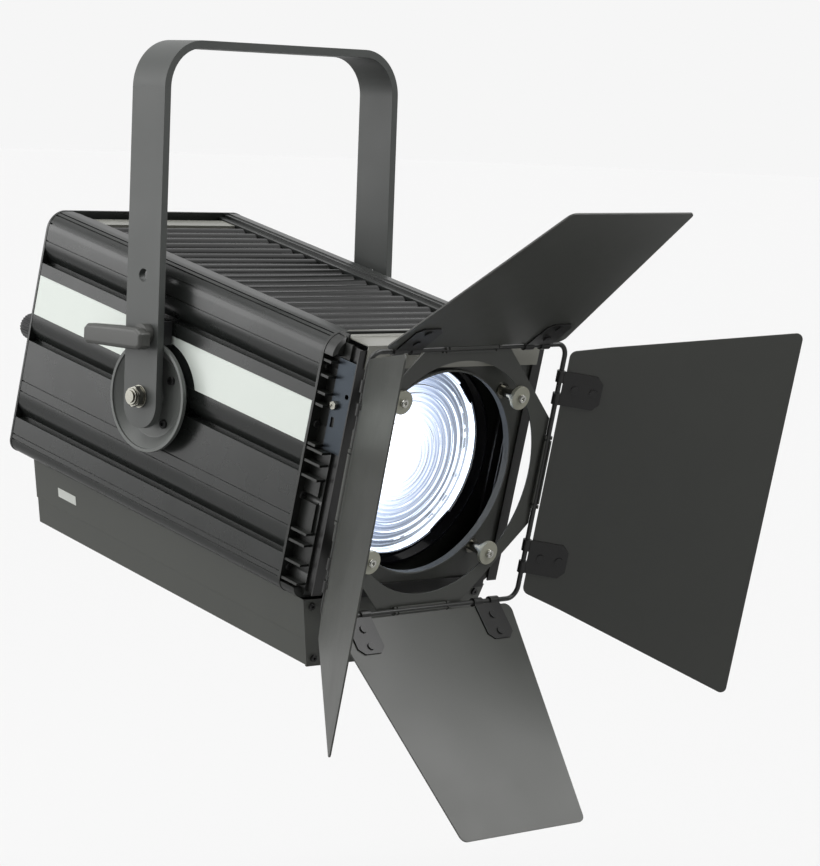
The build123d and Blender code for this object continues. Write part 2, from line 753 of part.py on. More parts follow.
def make_focus_knob():
    y0 = rear_y + plate + 1.0
    knob = bar_y(14, y0, y0 + 30, screw_x, 0)
    knob = fillet(knob.faces().sort_by(Axis.Y)[-1].edges(), 3)
    knob -= bar_y(screw_size / 2, y0 - 1, y0 + 22, screw_x, 0)
    return in_head(knob)


def make_lead_screw():
    return in_head(bar_y(screw_size / 2, -80, rear_y + plate + 22, screw_x, 0))


# ---- barndoor, fixed part ----
def stud_places():
    return [(x, z) for x in (-stud_offset, stud_offset) for z in (-stud_offset, stud_offset)]


def make_door_base():
    half = accessory_half
    shape = rect(-half, half, accessory_seat, accessory_top)
    shape = fillet(shape.vertices(), 6)
    base = along_y(shape, base_front + 1.6, base_front)
    base += bar_y(base_hole / 2, base_front - 6.4, base_front, 0, 0)
    base -= bar_y(base_hole / 2 - 1.6, base_front - 10, base_front + 5, 0, 0)
    for x, z in stud_places():
        base -= bar_y(3.0, base_front - 1, base_front + 5, x, z)
    return in_head(base)


def make_roller_studs():
    studs = []
    end = ring_rear - ring_thickness - 0.6
    for x, z in stud_places():
        stud = bar_y(roller / 2, end, base_front, x, z)
        stud += bar_y(8, base_front - 2.4, base_front, x, z)
        stud += bar_y(8, ring_rear + 0.4, ring_rear + 3.0, x, z)
        stud += bar_y(3.0, base_front, base_front + 3.2, x, z)
        stud -= bar_y(2.5, end - 1, end + 12, x, z)
        studs.append(stud)
    return in_head(joined(studs))


def make_roller_washers():
    end = ring_rear - ring_thickness - 0.6
    washers = []
    for x, z in stud_places():
        washer = bar_y(washer_size / 2, end - washer_thickness, end, x, z) - bar_y(2.6, end - 5, end + 5, x, z)
        washers.append(washer)
    return in_head(joined(washers))


def make_roller_screws():
    end = ring_rear - ring_thickness - 0.6 - washer_thickness
    screws = []
    for x, z in stud_places():
        screw = bar_y(2.5, end, end + 12, x, z) + bar_y(4.4, end - 3.2, end, x, z)
        screw -= bar_y(2.0, end - 4, end - 1.4, x, z)
        screws.append(screw)
    return in_head(joined(screws))


# ---- barndoor, turning ring ----
def make_ring_plate():
    hole = stud_offset * math.sqrt(2) + roller / 2 + running_gap
    apothem = frame_half
    octagon = Rot(0, 0, 22.5) * RegularPolygon(apothem / math.cos(math.pi / 8), 8)
    ring = along_y(octagon, ring_rear, ring_rear - ring_thickness)
    ring -= bar_y(hole, ring_rear + 5, ring_rear - 5, 0, 0)
    tabs = None
    for quarter in range(4):
        tube = bar_x(frame_rod / 2 + 1.85, -38, 38, frame_y, frame_half)
        tube -= bar_x(frame_rod / 2 + 0.05, -39, 39, frame_y, frame_half)
        tube -= block(-40, 40, frame_y - 6, frame_y - 0.8, frame_half - 6, frame_half)
        slit = block(-34.8, -33.2, frame_y - 8, ring_rear + 1, frame_half - 6, frame_half + 6)
        tube = tube - slit - mirrored(slit)
        turned = Rot(0, 90 * quarter, 0) * tube
        tabs = turned if tabs is None else tabs + turned
    ring += tabs
    return in_ring(ring)


def make_wire_frame():
    half = frame_half
    path = Plane.XZ.offset(-frame_y) * RectangleRounded(2 * half, 2 * half, frame_corner)
    wire = path.faces()[0].outer_wire()
    start = wire @ 0
    along = wire % 0
    section = Plane(origin=start, z_dir=along) * Circle(frame_rod / 2)
    return in_ring(sweep(section, path=wire))


# ---- barndoor leaves: u along the hinge, v away from it, w towards the beam ----
def sheet(points, thickness, corner, low):
    shape = poly(*points)
    shape = fillet(shape.vertices(), corner)
    return Pos(0, 0, low) * extrude(shape, thickness)


hinge_centre = frame_half - frame_corner - 32.2
hinge_centres = (-hinge_centre, hinge_centre)
rivet_places = (16.6, 35.4)


def rivet_holes(leaf):
    for centre in hinge_centres:
        for v in rivet_places:
            leaf -= bar_z(2.05, -5, 5, centre, v)
    return leaf


def make_narrow_leaf(side):
    near = ((-narrow_half, leaf_start), (narrow_half, leaf_start))
    far = ((narrow_tip_half, narrow_length), (-narrow_tip_half, narrow_length))
    return in_leaf(side, rivet_holes(sheet(near + far, leaf_thickness, 8, -leaf_thickness / 2)))


def make_wide_leaf(side):
    share = (fold_at - leaf_start) / (wide_length - leaf_start)
    at_fold = wide_half + (wide_tip_half - wide_half) * share
    near = poly((-wide_half, leaf_start), (wide_half, leaf_start), (at_fold, fold_at), (-at_fold, fold_at))
    near = fillet(near.vertices().group_by(Axis.Y)[0], 8)
    far_length = wide_length - fold_at
    far = poly((-at_fold, 0), (at_fold, 0), (wide_tip_half, far_length), (-wide_tip_half, far_length))
    far = fillet(far.vertices().group_by(Axis.Y)[-1], wide_corner)
    low = -leaf_thickness / 2
    leaf = Pos(0, 0, low) * extrude(near, leaf_thickness)
    leaf += bar_x(leaf_thickness / 2, -at_fold, at_fold, fold_at, 0)
    leaf += Pos(0, fold_at, 0) * Rot(fold_angle, 0, 0) * Pos(0, 0, low) * extrude(far, leaf_thickness)
    return in_leaf(side, rivet_holes(leaf))


def make_hinges(side):
    pieces = []
    low = leaf_thickness / 2
    for centre in hinge_centres:
        ends = ((centre - 17.5, 3.3), (centre + 17.5, 3.3), (centre + 17.5, 37), (centre + 10.5, 43.5),
                (centre - 10.5, 43.5), (centre - 17.5, 37))
        clip = Pos(0, 0, low) * extrude(poly(*ends), 1.5)
        for start in (centre - 17.5, centre + 5.5):
            clip += bar_x(frame_rod / 2 + 1.9, start, start + 12, 0, 0)
        clip -= bar_x(frame_rod / 2 + running_gap, centre - 20, centre + 20, 0, 0)
        for v in rivet_places:
            clip -= bar_z(2.05, -5, 5, centre, v)
            rivet = bar_z(2.0, low - 1.9, low + 2, centre, v)
            rivet += bar_z(4.0, low + 1.5, low + 3.0, centre, v)
            rivet += bar_z(3.4, low - 2.5, low - 1.5, centre, v)
            pieces.append(rivet)
        pieces.append(clip)
    return in_leaf(side, joined(pieces))


def make_all():
    parts = {
        "yoke": make_yoke(),
        "brake_shoe": make_brake_shoe(),
        "thrust_washers": make_thrust_washers(),
        "lock_lever": make_lock_lever(),
        "lever_stud": make_lever_stud(),
        "tilt_disc_left": in_head(mirrored(make_tilt_disc())),
        "tilt_disc_right": in_head(make_tilt_disc()),
        "disc_screws": make_disc_screws(),
        "pivot_bolts": make_pivot_bolts(),
        "pivot_washers": make_pivot_washers(),
        "pivot_nuts": make_pivot_nuts(),
        "side_panel_left": in_head(mirrored(make_side_panel())),
        "side_panel_right": in_head(make_side_panel()),
        "side_strips": make_side_strips(),
        "rear_plate": make_rear_plate(),
        "rear_screws": make_plate_screws(rear_y + plate, 1),
        "louvre_rails": make_louvre_rails(),
        "louvre_slats": make_louvre_slats(),
        "top_strips": make_top_strips(),
        "top_baffle": make_baffle(),
        "floor_plate": make_floor_plate(),
        "front_cap": make_front_cap(),
        "cap_screws": make_plate_screws(front_y - 3, -1),
        "runners": make_runners(),
        "runner_brackets": make_brackets(),
        "bracket_screws": make_bracket_screws(),
        "top_catch": make_catch(),
        "lens_barrel": make_lens_barrel(),
        "fresnel_lens": make_lens(),
        "lens_ring": make_lens_ring(),
        "gear_box": make_gear_box(),
        "gear_cover": make_gear_cover(),
        "gear_front": make_gear_front(),
        "gear_screws": make_gear_screws(),
        "led_driver": make_driver(),
        "control_board": make_control_board(),
        "data_sockets": make_data_sockets(),
        "mains_inlet": make_inlet(),
        "guide_rods": make_guide_rods(),
        "carriage": make_carriage(),
        "heat_sink": make_heat_sink(),
        "led_module": make_led_module(),
        "fan_frame": make_fan_frame(),
        "fan_rotor": make_fan_rotor(),
        "focus_knob": make_focus_knob(),
        "lead_screw": make_lead_screw(),
        "door_base": make_door_base(),
        "roller_studs": make_roller_studs(),
        "roller_washers": make_roller_washers(),
        "roller_screws": make_roller_screws(),
        "ring_plate": make_ring_plate(),
        "wire_frame": make_wire_frame(),
        "leaf_top": make_narrow_leaf("top"),
        "leaf_bottom": make_narrow_leaf("bottom"),
        "leaf_left": make_wide_leaf("left"),
        "leaf_right": make_wide_leaf("right"),
        "hinges_top": make_hinges("top"),
        "hinges_bottom": make_hinges("bottom"),
        "hinges_left": make_hinges("left"),
        "hinges_right": make_hinges("right"),
    }
    return parts


os.makedirs("parts", exist_ok=True)
for name, shape in make_all().items():
    export_step(shape, f"parts/{name}.step")
    print(name, len(shape.solids()), round(sum(s.volume for s in shape.solids())))
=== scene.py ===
import math
import bmesh
import bpy
from mathutils import Matrix, Vector


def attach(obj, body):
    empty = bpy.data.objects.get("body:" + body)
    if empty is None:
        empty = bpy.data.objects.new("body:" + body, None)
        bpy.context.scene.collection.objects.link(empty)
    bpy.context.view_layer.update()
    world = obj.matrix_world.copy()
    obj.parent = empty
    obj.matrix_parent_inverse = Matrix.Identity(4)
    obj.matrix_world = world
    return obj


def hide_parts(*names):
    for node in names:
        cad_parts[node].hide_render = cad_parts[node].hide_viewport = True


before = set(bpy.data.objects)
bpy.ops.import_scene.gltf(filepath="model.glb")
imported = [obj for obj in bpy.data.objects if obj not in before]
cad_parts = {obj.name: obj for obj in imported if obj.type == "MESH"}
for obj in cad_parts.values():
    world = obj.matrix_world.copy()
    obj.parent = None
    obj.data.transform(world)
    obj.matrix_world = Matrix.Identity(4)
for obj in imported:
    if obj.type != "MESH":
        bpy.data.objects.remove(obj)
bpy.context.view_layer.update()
mm = 0.001

# the head hangs from the tilt pivot: its drop under the clamp hole in mm, its tilt in degrees
place = {"pivotDrop": 356.0, "headTilt": 13.0}


def turn(degrees, axis):
    return Matrix.Rotation(math.radians(degrees), 4, axis)


yokeFrame = Matrix.Translation((0, 0, -place["pivotDrop"] * mm)) @ Matrix.Scale(mm, 4)
headFrame = yokeFrame @ turn(place["headTilt"], "X")


# node helpers
def addNode(tree, kind, values=None, **settings):
    node = tree.nodes.new(kind)
    for key, value in settings.items():
        setattr(node, key, value)
    for key, value in (values or {}).items():
        node.inputs[key].default_value = value
    return node


def wire(tree, *pairs):
    for source, target in pairs:
        tree.links.new(source, target)


def newGroup(name, kind, inputs, outputs):
    tree = bpy.data.node_groups.new(name, kind)
    for label, socketType, default in inputs:
        socket = tree.interface.new_socket(label, in_out="INPUT", socket_type=socketType)
        if default is not None:
            socket.default_value = default
    for label, socketType in outputs:
        tree.interface.new_socket(label, in_out="OUTPUT", socket_type=socketType)
    return tree, tree.nodes.new("NodeGroupInput"), tree.nodes.new("NodeGroupOutput")


# shared shader effects
grainValues = {"scale": 900.0, "patchScale": 9.0, "fine": {"Detail": 3.0, "Roughness": 0.55},
               "broad": {"Detail": 4.0, "Roughness": 0.6}}


def buildGrain():
    v = grainValues
    tree, gin, gout = newGroup("paintGrain", "ShaderNodeTree",
                               [("Scale", "NodeSocketFloat", v["scale"]),
                                ("Patch Scale", "NodeSocketFloat", v["patchScale"])],
                               [("Height", "NodeSocketFloat"), ("Patch", "NodeSocketFloat")])
    coord = addNode(tree, "ShaderNodeTexCoord")
    fine = addNode(tree, "ShaderNodeTexNoise", v["fine"])
    broad = addNode(tree, "ShaderNodeTexNoise", v["broad"])
    wire(tree, (coord.outputs["Object"], fine.inputs["Vector"]),
         (coord.outputs["Object"], broad.inputs["Vector"]),
         (gin.outputs["Scale"], fine.inputs["Scale"]), (gin.outputs["Patch Scale"], broad.inputs["Scale"]),
         (fine.outputs["Fac"], gout.inputs["Height"]), (broad.outputs["Fac"], gout.inputs["Patch"]))
    return tree


# wear shows where a rounded normal leaves the face's own normal, broken up by noise
wearValues = {"radius": 0.0007, "breakUp": 140.0, "amount": 0.4, "samples": 4, "noise": {"Detail": 3.0},
              "edge": {"From Min": 0.995, "From Max": 0.9}, "patches": {"From Min": 0.4, "From Max": 0.65}}


def buildWear():
    v = wearValues
    tree, gin, gout = newGroup("edgeWear", "ShaderNodeTree",
                               [("Radius", "NodeSocketFloat", v["radius"]),
                                ("Break Up", "NodeSocketFloat", v["breakUp"]),
                                ("Amount", "NodeSocketFloat", v["amount"])],
                               [("Mask", "NodeSocketFloat")])
    geo = addNode(tree, "ShaderNodeNewGeometry")
    rounded = addNode(tree, "ShaderNodeBevel", samples=v["samples"])
    along = addNode(tree, "ShaderNodeVectorMath", operation="DOT_PRODUCT")
    spread = addNode(tree, "ShaderNodeMapRange", v["edge"])
    coord = addNode(tree, "ShaderNodeTexCoord")
    noise = addNode(tree, "ShaderNodeTexNoise", v["noise"])
    patches = addNode(tree, "ShaderNodeMapRange", v["patches"])
    both = addNode(tree, "ShaderNodeMath", operation="MULTIPLY")
    scaled = addNode(tree, "ShaderNodeMath", operation="MULTIPLY")
    wire(tree, (gin.outputs["Radius"], rounded.inputs["Radius"]),
         (rounded.outputs["Normal"], along.inputs[0]),
         (geo.outputs["Normal"], along.inputs[1]), (along.outputs["Value"], spread.inputs["Value"]),
         (coord.outputs["Object"], noise.inputs["Vector"]), (gin.outputs["Break Up"], noise.inputs["Scale"]),
         (noise.outputs["Fac"], patches.inputs["Value"]), (spread.outputs["Result"], both.inputs[0]),
         (patches.outputs["Result"], both.inputs[1]), (both.outputs["Value"], scaled.inputs[0]),
         (gin.outputs["Amount"], scaled.inputs[1]), (scaled.outputs["Value"], gout.inputs["Mask"]))
    return tree


# dust lies on faces that look up
dustValues = {"amount": 0.2, "scale": 35.0, "facing": {"From Min": 0.2, "From Max": 1.0},
              "noise": {"Detail": 6.0, "Roughness": 0.7}, "specks": {"From Min": 0.5, "From Max": 0.8}}


def buildDust():
    v = dustValues
    tree, gin, gout = newGroup("dustFall", "ShaderNodeTree",
                               [("Amount", "NodeSocketFloat", v["amount"]),
                                ("Scale", "NodeSocketFloat", v["scale"])],
                               [("Mask", "NodeSocketFloat")])
    geo = addNode(tree, "ShaderNodeNewGeometry")
    split = addNode(tree, "ShaderNodeSeparateXYZ")
    facing = addNode(tree, "ShaderNodeMapRange", v["facing"])
    coord = addNode(tree, "ShaderNodeTexCoord")
    noise = addNode(tree, "ShaderNodeTexNoise", v["noise"])
    specks = addNode(tree, "ShaderNodeMapRange", v["specks"])
    one = addNode(tree, "ShaderNodeMath", operation="MULTIPLY")
    two = addNode(tree, "ShaderNodeMath", operation="MULTIPLY")
    wire(tree, (geo.outputs["Normal"], split.inputs["Vector"]), (split.outputs["Z"], facing.inputs["Value"]),
         (coord.outputs["Object"], noise.inputs["Vector"]), (gin.outputs["Scale"], noise.inputs["Scale"]),
         (noise.outputs["Fac"], specks.inputs["Value"]), (facing.outputs["Result"], one.inputs[0]),
         (specks.outputs["Result"], one.inputs[1]), (one.outputs["Value"], two.inputs[0]),
         (gin.outputs["Amount"], two.inputs[1]), (two.outputs["Value"], gout.inputs["Mask"]))
    return tree


grainGroup = buildGrain()
wearGroup = buildWear()
dustGroup = buildDust()


def startMaterial(name):
    material = bpy.data.materials.new(name)
    material.use_nodes = True
    tree = material.node_tree
    return material, tree, tree.nodes["Principled BSDF"]


def grouped(tree, group, **values):
    node = tree.nodes.new("ShaderNodeGroup")
    node.node_tree = group
    for key, value in values.items():
        node.inputs[key].default_value = value
    return node


# roughness follows the broad patches of the grain, and the fine grain lifts the surface
def grainedSurface(tree, shader, grain, roughness, strength):
    low, high = roughness
    rough = addNode(tree, "ShaderNodeMapRange",
                    {"From Min": 0.3, "From Max": 0.7, "To Min": low, "To Max": high})
    bump = addNode(tree, "ShaderNodeBump", {"Strength": strength, "Distance": 0.0002})
    wire(tree, (grain.outputs["Patch"], rough.inputs["Value"]),
         (rough.outputs["Result"], shader.inputs["Roughness"]),
         (grain.outputs["Height"], bump.inputs["Height"]), (bump.outputs["Normal"], shader.inputs["Normal"]))


# what a finish has unless it says otherwise
plainFinish = {"grainScale": 900.0, "patchScale": 14.0, "wear": 0.35, "dust": 0.0, "bump": 0.1, "metal": 0.0,
               "specular": 0.5, "worn": (0.09, 0.09, 0.085), "dustColour": (0.3, 0.29, 0.26),
               "secondGain": 1.25}


# paint, plate or plastic: patchy gloss, worn edges, a little dust and a fine grain
def finishSurface(name, values):
    v = {**plainFinish, **values}
    second = v.get("second", [c * v["secondGain"] for c in v["colour"]])
    material, tree, shader = startMaterial(name)
    grain = grouped(tree, grainGroup, **{"Scale": v["grainScale"], "Patch Scale": v["patchScale"]})
    wear = grouped(tree, wearGroup, Amount=v["wear"])
    dust = grouped(tree, dustGroup, Amount=v["dust"])
    shade = addNode(tree, "ShaderNodeMix", data_type="RGBA")
    shade.inputs["A"].default_value = (*v["colour"], 1)
    shade.inputs["B"].default_value = (*second, 1)
    worn = addNode(tree, "ShaderNodeMix", data_type="RGBA")
    worn.inputs["B"].default_value = (*v["worn"], 1)
    dusty = addNode(tree, "ShaderNodeMix", data_type="RGBA")
    dusty.inputs["B"].default_value = (*v["dustColour"], 1)
    wire(tree, (grain.outputs["Patch"], shade.inputs["Factor"]), (shade.outputs["Result"], worn.inputs["A"]),
         (wear.outputs["Mask"], worn.inputs["Factor"]), (worn.outputs["Result"], dusty.inputs["A"]),
         (dust.outputs["Mask"], dusty.inputs["Factor"]),
         (dusty.outputs["Result"], shader.inputs["Base Color"]))
    grainedSurface(tree, shader, grain, v["rough"], v["bump"])
    shader.inputs["Metallic"].default_value = v["metal"]
    shader.inputs["Specular IOR Level"].default_value = v["specular"]
    return material


finishes = {
    "bodyPaint": {"colour": (0.012, 0.0135, 0.0125), "rough": (0.24, 0.31), "dust": 0.02, "bump": 0.05},
    "yokePaint": {"colour": (0.056, 0.06, 0.057), "rough": (0.42, 0.5), "dust": 0.02, "bump": 0.14},
    "sheetPaint": {"colour": (0.045, 0.047, 0.042), "rough": (0.32, 0.4), "bump": 0.06, "wear": 0.15},
    "boxPaint": {"colour": (0.062, 0.065, 0.058), "rough": (0.36, 0.44), "dust": 0.02, "bump": 0.06},
    "castPaint": {"colour": (0.012, 0.013, 0.0115), "rough": (0.3, 0.4), "bump": 0.25, "grainScale": 500.0},
    "discPaint": {"colour": (0.1, 0.106, 0.1), "rough": (0.34, 0.42), "bump": 0.16},
    "leverPaint": {"colour": (0.055, 0.056, 0.052), "rough": (0.38, 0.48), "bump": 0.25},
    "slatPaint": {"colour": (0.005, 0.0053, 0.005), "rough": (0.2, 0.26), "wear": 0.05, "bump": 0.0,
                  "specular": 0.3},
    # the strips' pale grey is painted sheen: black paint lit by an overhead reflection, set as colour
    "stripPaintedSheen": {"colour": (0.16, 0.16, 0.14), "rough": (0.16, 0.24), "wear": 0.1,
                   "worn": (0.3, 0.3, 0.28)},
    "barrelPaint": {"colour": (0.003, 0.003, 0.004), "rough": (0.08, 0.13), "bump": 0.0, "wear": 0.05},
    "blackSteel": {"colour": (0.01, 0.01, 0.0095), "rough": (0.3, 0.4), "wear": 0.2},
    "zincPlate": {"colour": (0.035, 0.042, 0.05), "second": (0.06, 0.07, 0.082), "rough": (0.26, 0.36),
                  "metal": 1.0, "worn": (0.3, 0.32, 0.34), "wear": 0.3, "bump": 0.08},
    "nutSteel": {"colour": (0.22, 0.215, 0.19), "second": (0.3, 0.295, 0.26), "rough": (0.2, 0.3),
                 "metal": 1.0, "worn": (0.7, 0.69, 0.64), "wear": 0.3, "bump": 0.06},
    "brightSteel": {"colour": (0.5, 0.5, 0.47), "second": (0.66, 0.66, 0.62), "rough": (0.16, 0.26),
                    "metal": 1.0, "worn": (0.9, 0.9, 0.88), "wear": 0.2, "bump": 0.06},
    "washerOlive": {"colour": (0.3, 0.3, 0.24), "second": (0.42, 0.42, 0.35), "rough": (0.3, 0.42),
                    "metal": 0.4, "worn": (0.6, 0.6, 0.5), "bump": 0.06},
    "rodSteel": {"colour": (0.028, 0.029, 0.028), "second": (0.042, 0.043, 0.041), "rough": (0.28, 0.36),
                 "metal": 0.3, "bump": 0.05},
    "nylonWhite": {"colour": (0.72, 0.72, 0.68), "rough": (0.4, 0.5), "worn": (0.8, 0.8, 0.76), "bump": 0.04},
    "blackPlastic": {"colour": (0.012, 0.012, 0.013), "rough": (0.4, 0.55), "bump": 0.25,
                     "grainScale": 700.0},
    "boardGreen": {"colour": (0.02, 0.12, 0.05), "second": (0.03, 0.16, 0.07), "rough": (0.3, 0.45)},
    "aluminium": {"colour": (0.6, 0.6, 0.61), "second": (0.7, 0.7, 0.71), "rough": (0.28, 0.42), "metal": 1.0,
                  "worn": (0.9, 0.9, 0.9), "wear": 0.2, "bump": 0.08},
    "labelPale": {"colour": (0.7, 0.75, 0.7), "second": (0.74, 0.79, 0.74), "rough": (0.3, 0.36), "wear": 0.0,
                  "bump": 0.02},
    "stickerWhite": {"colour": (0.6, 0.62, 0.58), "second": (0.66, 0.68, 0.64), "rough": (0.4, 0.5),
                     "wear": 0.0, "bump": 0.02},
    "phosphor": {"colour": (0.75, 0.6, 0.12), "second": (0.85, 0.7, 0.2), "rough": (0.5, 0.6), "bump": 0.05},
}
looks = {name: finishSurface(name, values) for name, values in finishes.items()}


# distance from the optical axis and across it, read back out of the tilted head
def axisReach(tree):
    coord = addNode(tree, "ShaderNodeTexCoord")
    turnBack = addNode(tree, "ShaderNodeMapping", vector_type="TEXTURE")
    turnBack.inputs["Location"].default_value = (0, 0, -place["pivotDrop"] * mm)
    turnBack.inputs["Rotation"].default_value = (math.radians(place["headTilt"]), 0, 0)
    split = addNode(tree, "ShaderNodeSeparateXYZ")
    flat = addNode(tree, "ShaderNodeCombineXYZ")
    reach = addNode(tree, "ShaderNodeVectorMath", operation="LENGTH")
    wire(tree, (coord.outputs["Object"], turnBack.inputs["Vector"]),
         (turnBack.outputs["Vector"], split.inputs["Vector"]),
         (split.outputs["X"], flat.inputs["X"]), (split.outputs["Z"], flat.inputs["Z"]),
         (flat.outputs["Vector"], reach.inputs[0]))
    return turnBack.outputs["Vector"], reach.outputs["Value"]


lensValues = {"ringsPerMetre": 210.0, "ringSharp": 5.0, "ring": {"To Min": 0.08, "To Max": 1.0},
              "fade": {"From Min": 0.03, "From Max": 0.1, "To Min": 1.0, "To Max": 0.38},
              "rim": {"From Min": 0.0935, "From Max": 0.0955, "To Max": 1.6}, "glassGlow": 0.8,
              "rough": (0.04, 0.08), "bump": 0.03, "grain": {"Scale": 260.0, "Patch Scale": 30.0},
              "cool": (0.55, 0.72, 1.0), "hot": (1.0, 1.0, 1.0), "base": (0.95, 0.975, 1.0), "ior": 1.28}


# pressed glass: clear, with a painted glow on the lit crest of each zone, brightest and whitest at the
# middle, and a painted bright ring at the rim
def glassLook():
    v = lensValues
    material, tree, shader = startMaterial("lensGlass")
    grainedSurface(tree, shader, grouped(tree, grainGroup, **v["grain"]), v["rough"], v["bump"])
    vector, reach = axisReach(tree)
    turns = addNode(tree, "ShaderNodeMath", {1: v["ringsPerMetre"]}, operation="MULTIPLY")
    part = addNode(tree, "ShaderNodeMath", operation="FRACT")
    sharp = addNode(tree, "ShaderNodeMath", {1: v["ringSharp"]}, operation="POWER")
    lift = addNode(tree, "ShaderNodeMapRange", v["ring"])
    fade = addNode(tree, "ShaderNodeMapRange", v["fade"])
    power = addNode(tree, "ShaderNodeMath", operation="MULTIPLY")
    rim = addNode(tree, "ShaderNodeMapRange", v["rim"])
    rimmed = addNode(tree, "ShaderNodeMath", operation="ADD")
    tint = addNode(tree, "ShaderNodeMix", data_type="RGBA")
    tint.inputs["A"].default_value = (*v["cool"], 1)
    tint.inputs["B"].default_value = (*v["hot"], 1)
    scaled = addNode(tree, "ShaderNodeVectorMath", operation="SCALE")
    wire(tree, (reach, turns.inputs[0]), (turns.outputs["Value"], part.inputs[0]),
         (part.outputs["Value"], sharp.inputs[0]),
         (sharp.outputs["Value"], lift.inputs["Value"]), (reach, fade.inputs["Value"]),
         (lift.outputs["Result"], power.inputs[0]), (fade.outputs["Result"], power.inputs[1]),
         (fade.outputs["Result"], tint.inputs["Factor"]), (tint.outputs["Result"], scaled.inputs[0]),
         (reach, rim.inputs["Value"]), (rim.outputs["Result"], rimmed.inputs[0]),
         (power.outputs["Value"], rimmed.inputs[1]), (rimmed.outputs["Value"], scaled.inputs["Scale"]),
         (scaled.outputs["Vector"], shader.inputs["Emission Color"]))
    shader.inputs["Base Color"].default_value = (*v["base"], 1)
    shader.inputs["Transmission Weight"].default_value = 1.0
    shader.inputs["IOR"].default_value = v["ior"]
    shader.inputs["Emission Strength"].default_value = v["glassGlow"]
    return material


glowValues = {"strength": 4.2, "cells": {"Scale": 85.0, "Randomness": 0.75},
              "fade": {"From Min": 0.022, "From Max": 0.104, "To Min": 1.0, "To Max": 0.035},
              "facet": {"From Min": 0.0, "From Max": 0.011, "To Min": 1.3, "To Max": 0.5},
              "cool": (0.4, 0.58, 1.0), "hot": (1.0, 1.0, 1.0), "base": (0.3, 0.31, 0.33), "rough": 0.5}


# the lit engine behind the lens: hottest at the middle, faceted, cooler to the rim
def glowLook():
    v = glowValues
    material, tree, shader = startMaterial("lampGlow")
    vector, reach = axisReach(tree)
    cells = addNode(tree, "ShaderNodeTexVoronoi", v["cells"])
    fade = addNode(tree, "ShaderNodeMapRange", v["fade"], interpolation_type="SMOOTHSTEP")
    facet = addNode(tree, "ShaderNodeMapRange", v["facet"])
    power = addNode(tree, "ShaderNodeMath", operation="MULTIPLY")
    tint = addNode(tree, "ShaderNodeMix", data_type="RGBA")
    tint.inputs["A"].default_value = (*v["cool"], 1)
    tint.inputs["B"].default_value = (*v["hot"], 1)
    scaled = addNode(tree, "ShaderNodeVectorMath", operation="SCALE")
    wire(tree, (reach, fade.inputs["Value"]), (vector, cells.inputs["Vector"]),
         (cells.outputs["Distance"], facet.inputs["Value"]), (fade.outputs["Result"], power.inputs[0]),
         (facet.outputs["Result"], power.inputs[1]), (fade.outputs["Result"], tint.inputs["Factor"]),
         (tint.outputs["Result"], scaled.inputs[0]), (power.outputs["Value"], scaled.inputs["Scale"]),
         (scaled.outputs["Vector"], shader.inputs["Emission Color"]))
    shader.inputs["Base Color"].default_value = (*v["base"], 1)
    shader.inputs["Roughness"].default_value = v["rough"]
    shader.inputs["Emission Strength"].default_value = v["strength"]
    return material


looks["lensGlass"] = glassLook()
looks["lampGlow"] = glowLook()
print("looks ready:", len(looks))


# mesh helpers
def link(name, mesh):
    piece = bpy.data.objects.new(name, mesh)
    bpy.context.scene.collection.objects.link(piece)
    return piece


# the modifiers become a mesh of its own
def plainMesh(piece, name):
    bpy.context.view_layer.update()
    graph = bpy.context.evaluated_depsgraph_get()
    mesh = bpy.data.meshes.new_from_object(piece.evaluated_get(graph), depsgraph=graph)
    mesh.name = name
    bpy.data.objects.remove(piece)
    return link(name, mesh)


def hand(piece, look, body, slot, *nodes):
    piece.data.materials.clear()
    piece.data.materials.append(looks[look])
    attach(piece, body)
    if nodes:
        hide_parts(*nodes)
    return piece


# a merged copy of a CAD node with its flats joined and its edges rounded, width in mm
def softened(node, width, segments=2, angle=32.0, flat=1.5, weld=2e-6):
    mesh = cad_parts[node].data.copy()
    bm = bmesh.new()
    bm.from_mesh(mesh)
    bmesh.ops.remove_doubles(bm, verts=bm.verts, dist=weld)
    bmesh.ops.dissolve_limit(bm, angle_limit=math.radians(flat), verts=bm.verts, edges=bm.edges)
    bm.to_mesh(mesh)
    bm.free()
    if "custom_normal" in mesh.attributes:
        mesh.attributes.remove(mesh.attributes["custom_normal"])
    mesh.shade_smooth()
    piece = link(node + "_soft", mesh)
    bevel = piece.modifiers.new("round", "BEVEL")
    bevel.width = width * mm
    bevel.segments = segments
    bevel.limit_method = "ANGLE"
    bevel.angle_limit = math.radians(angle)
    bevel.harden_normals = True
    return plainMesh(piece, node + "_piece")


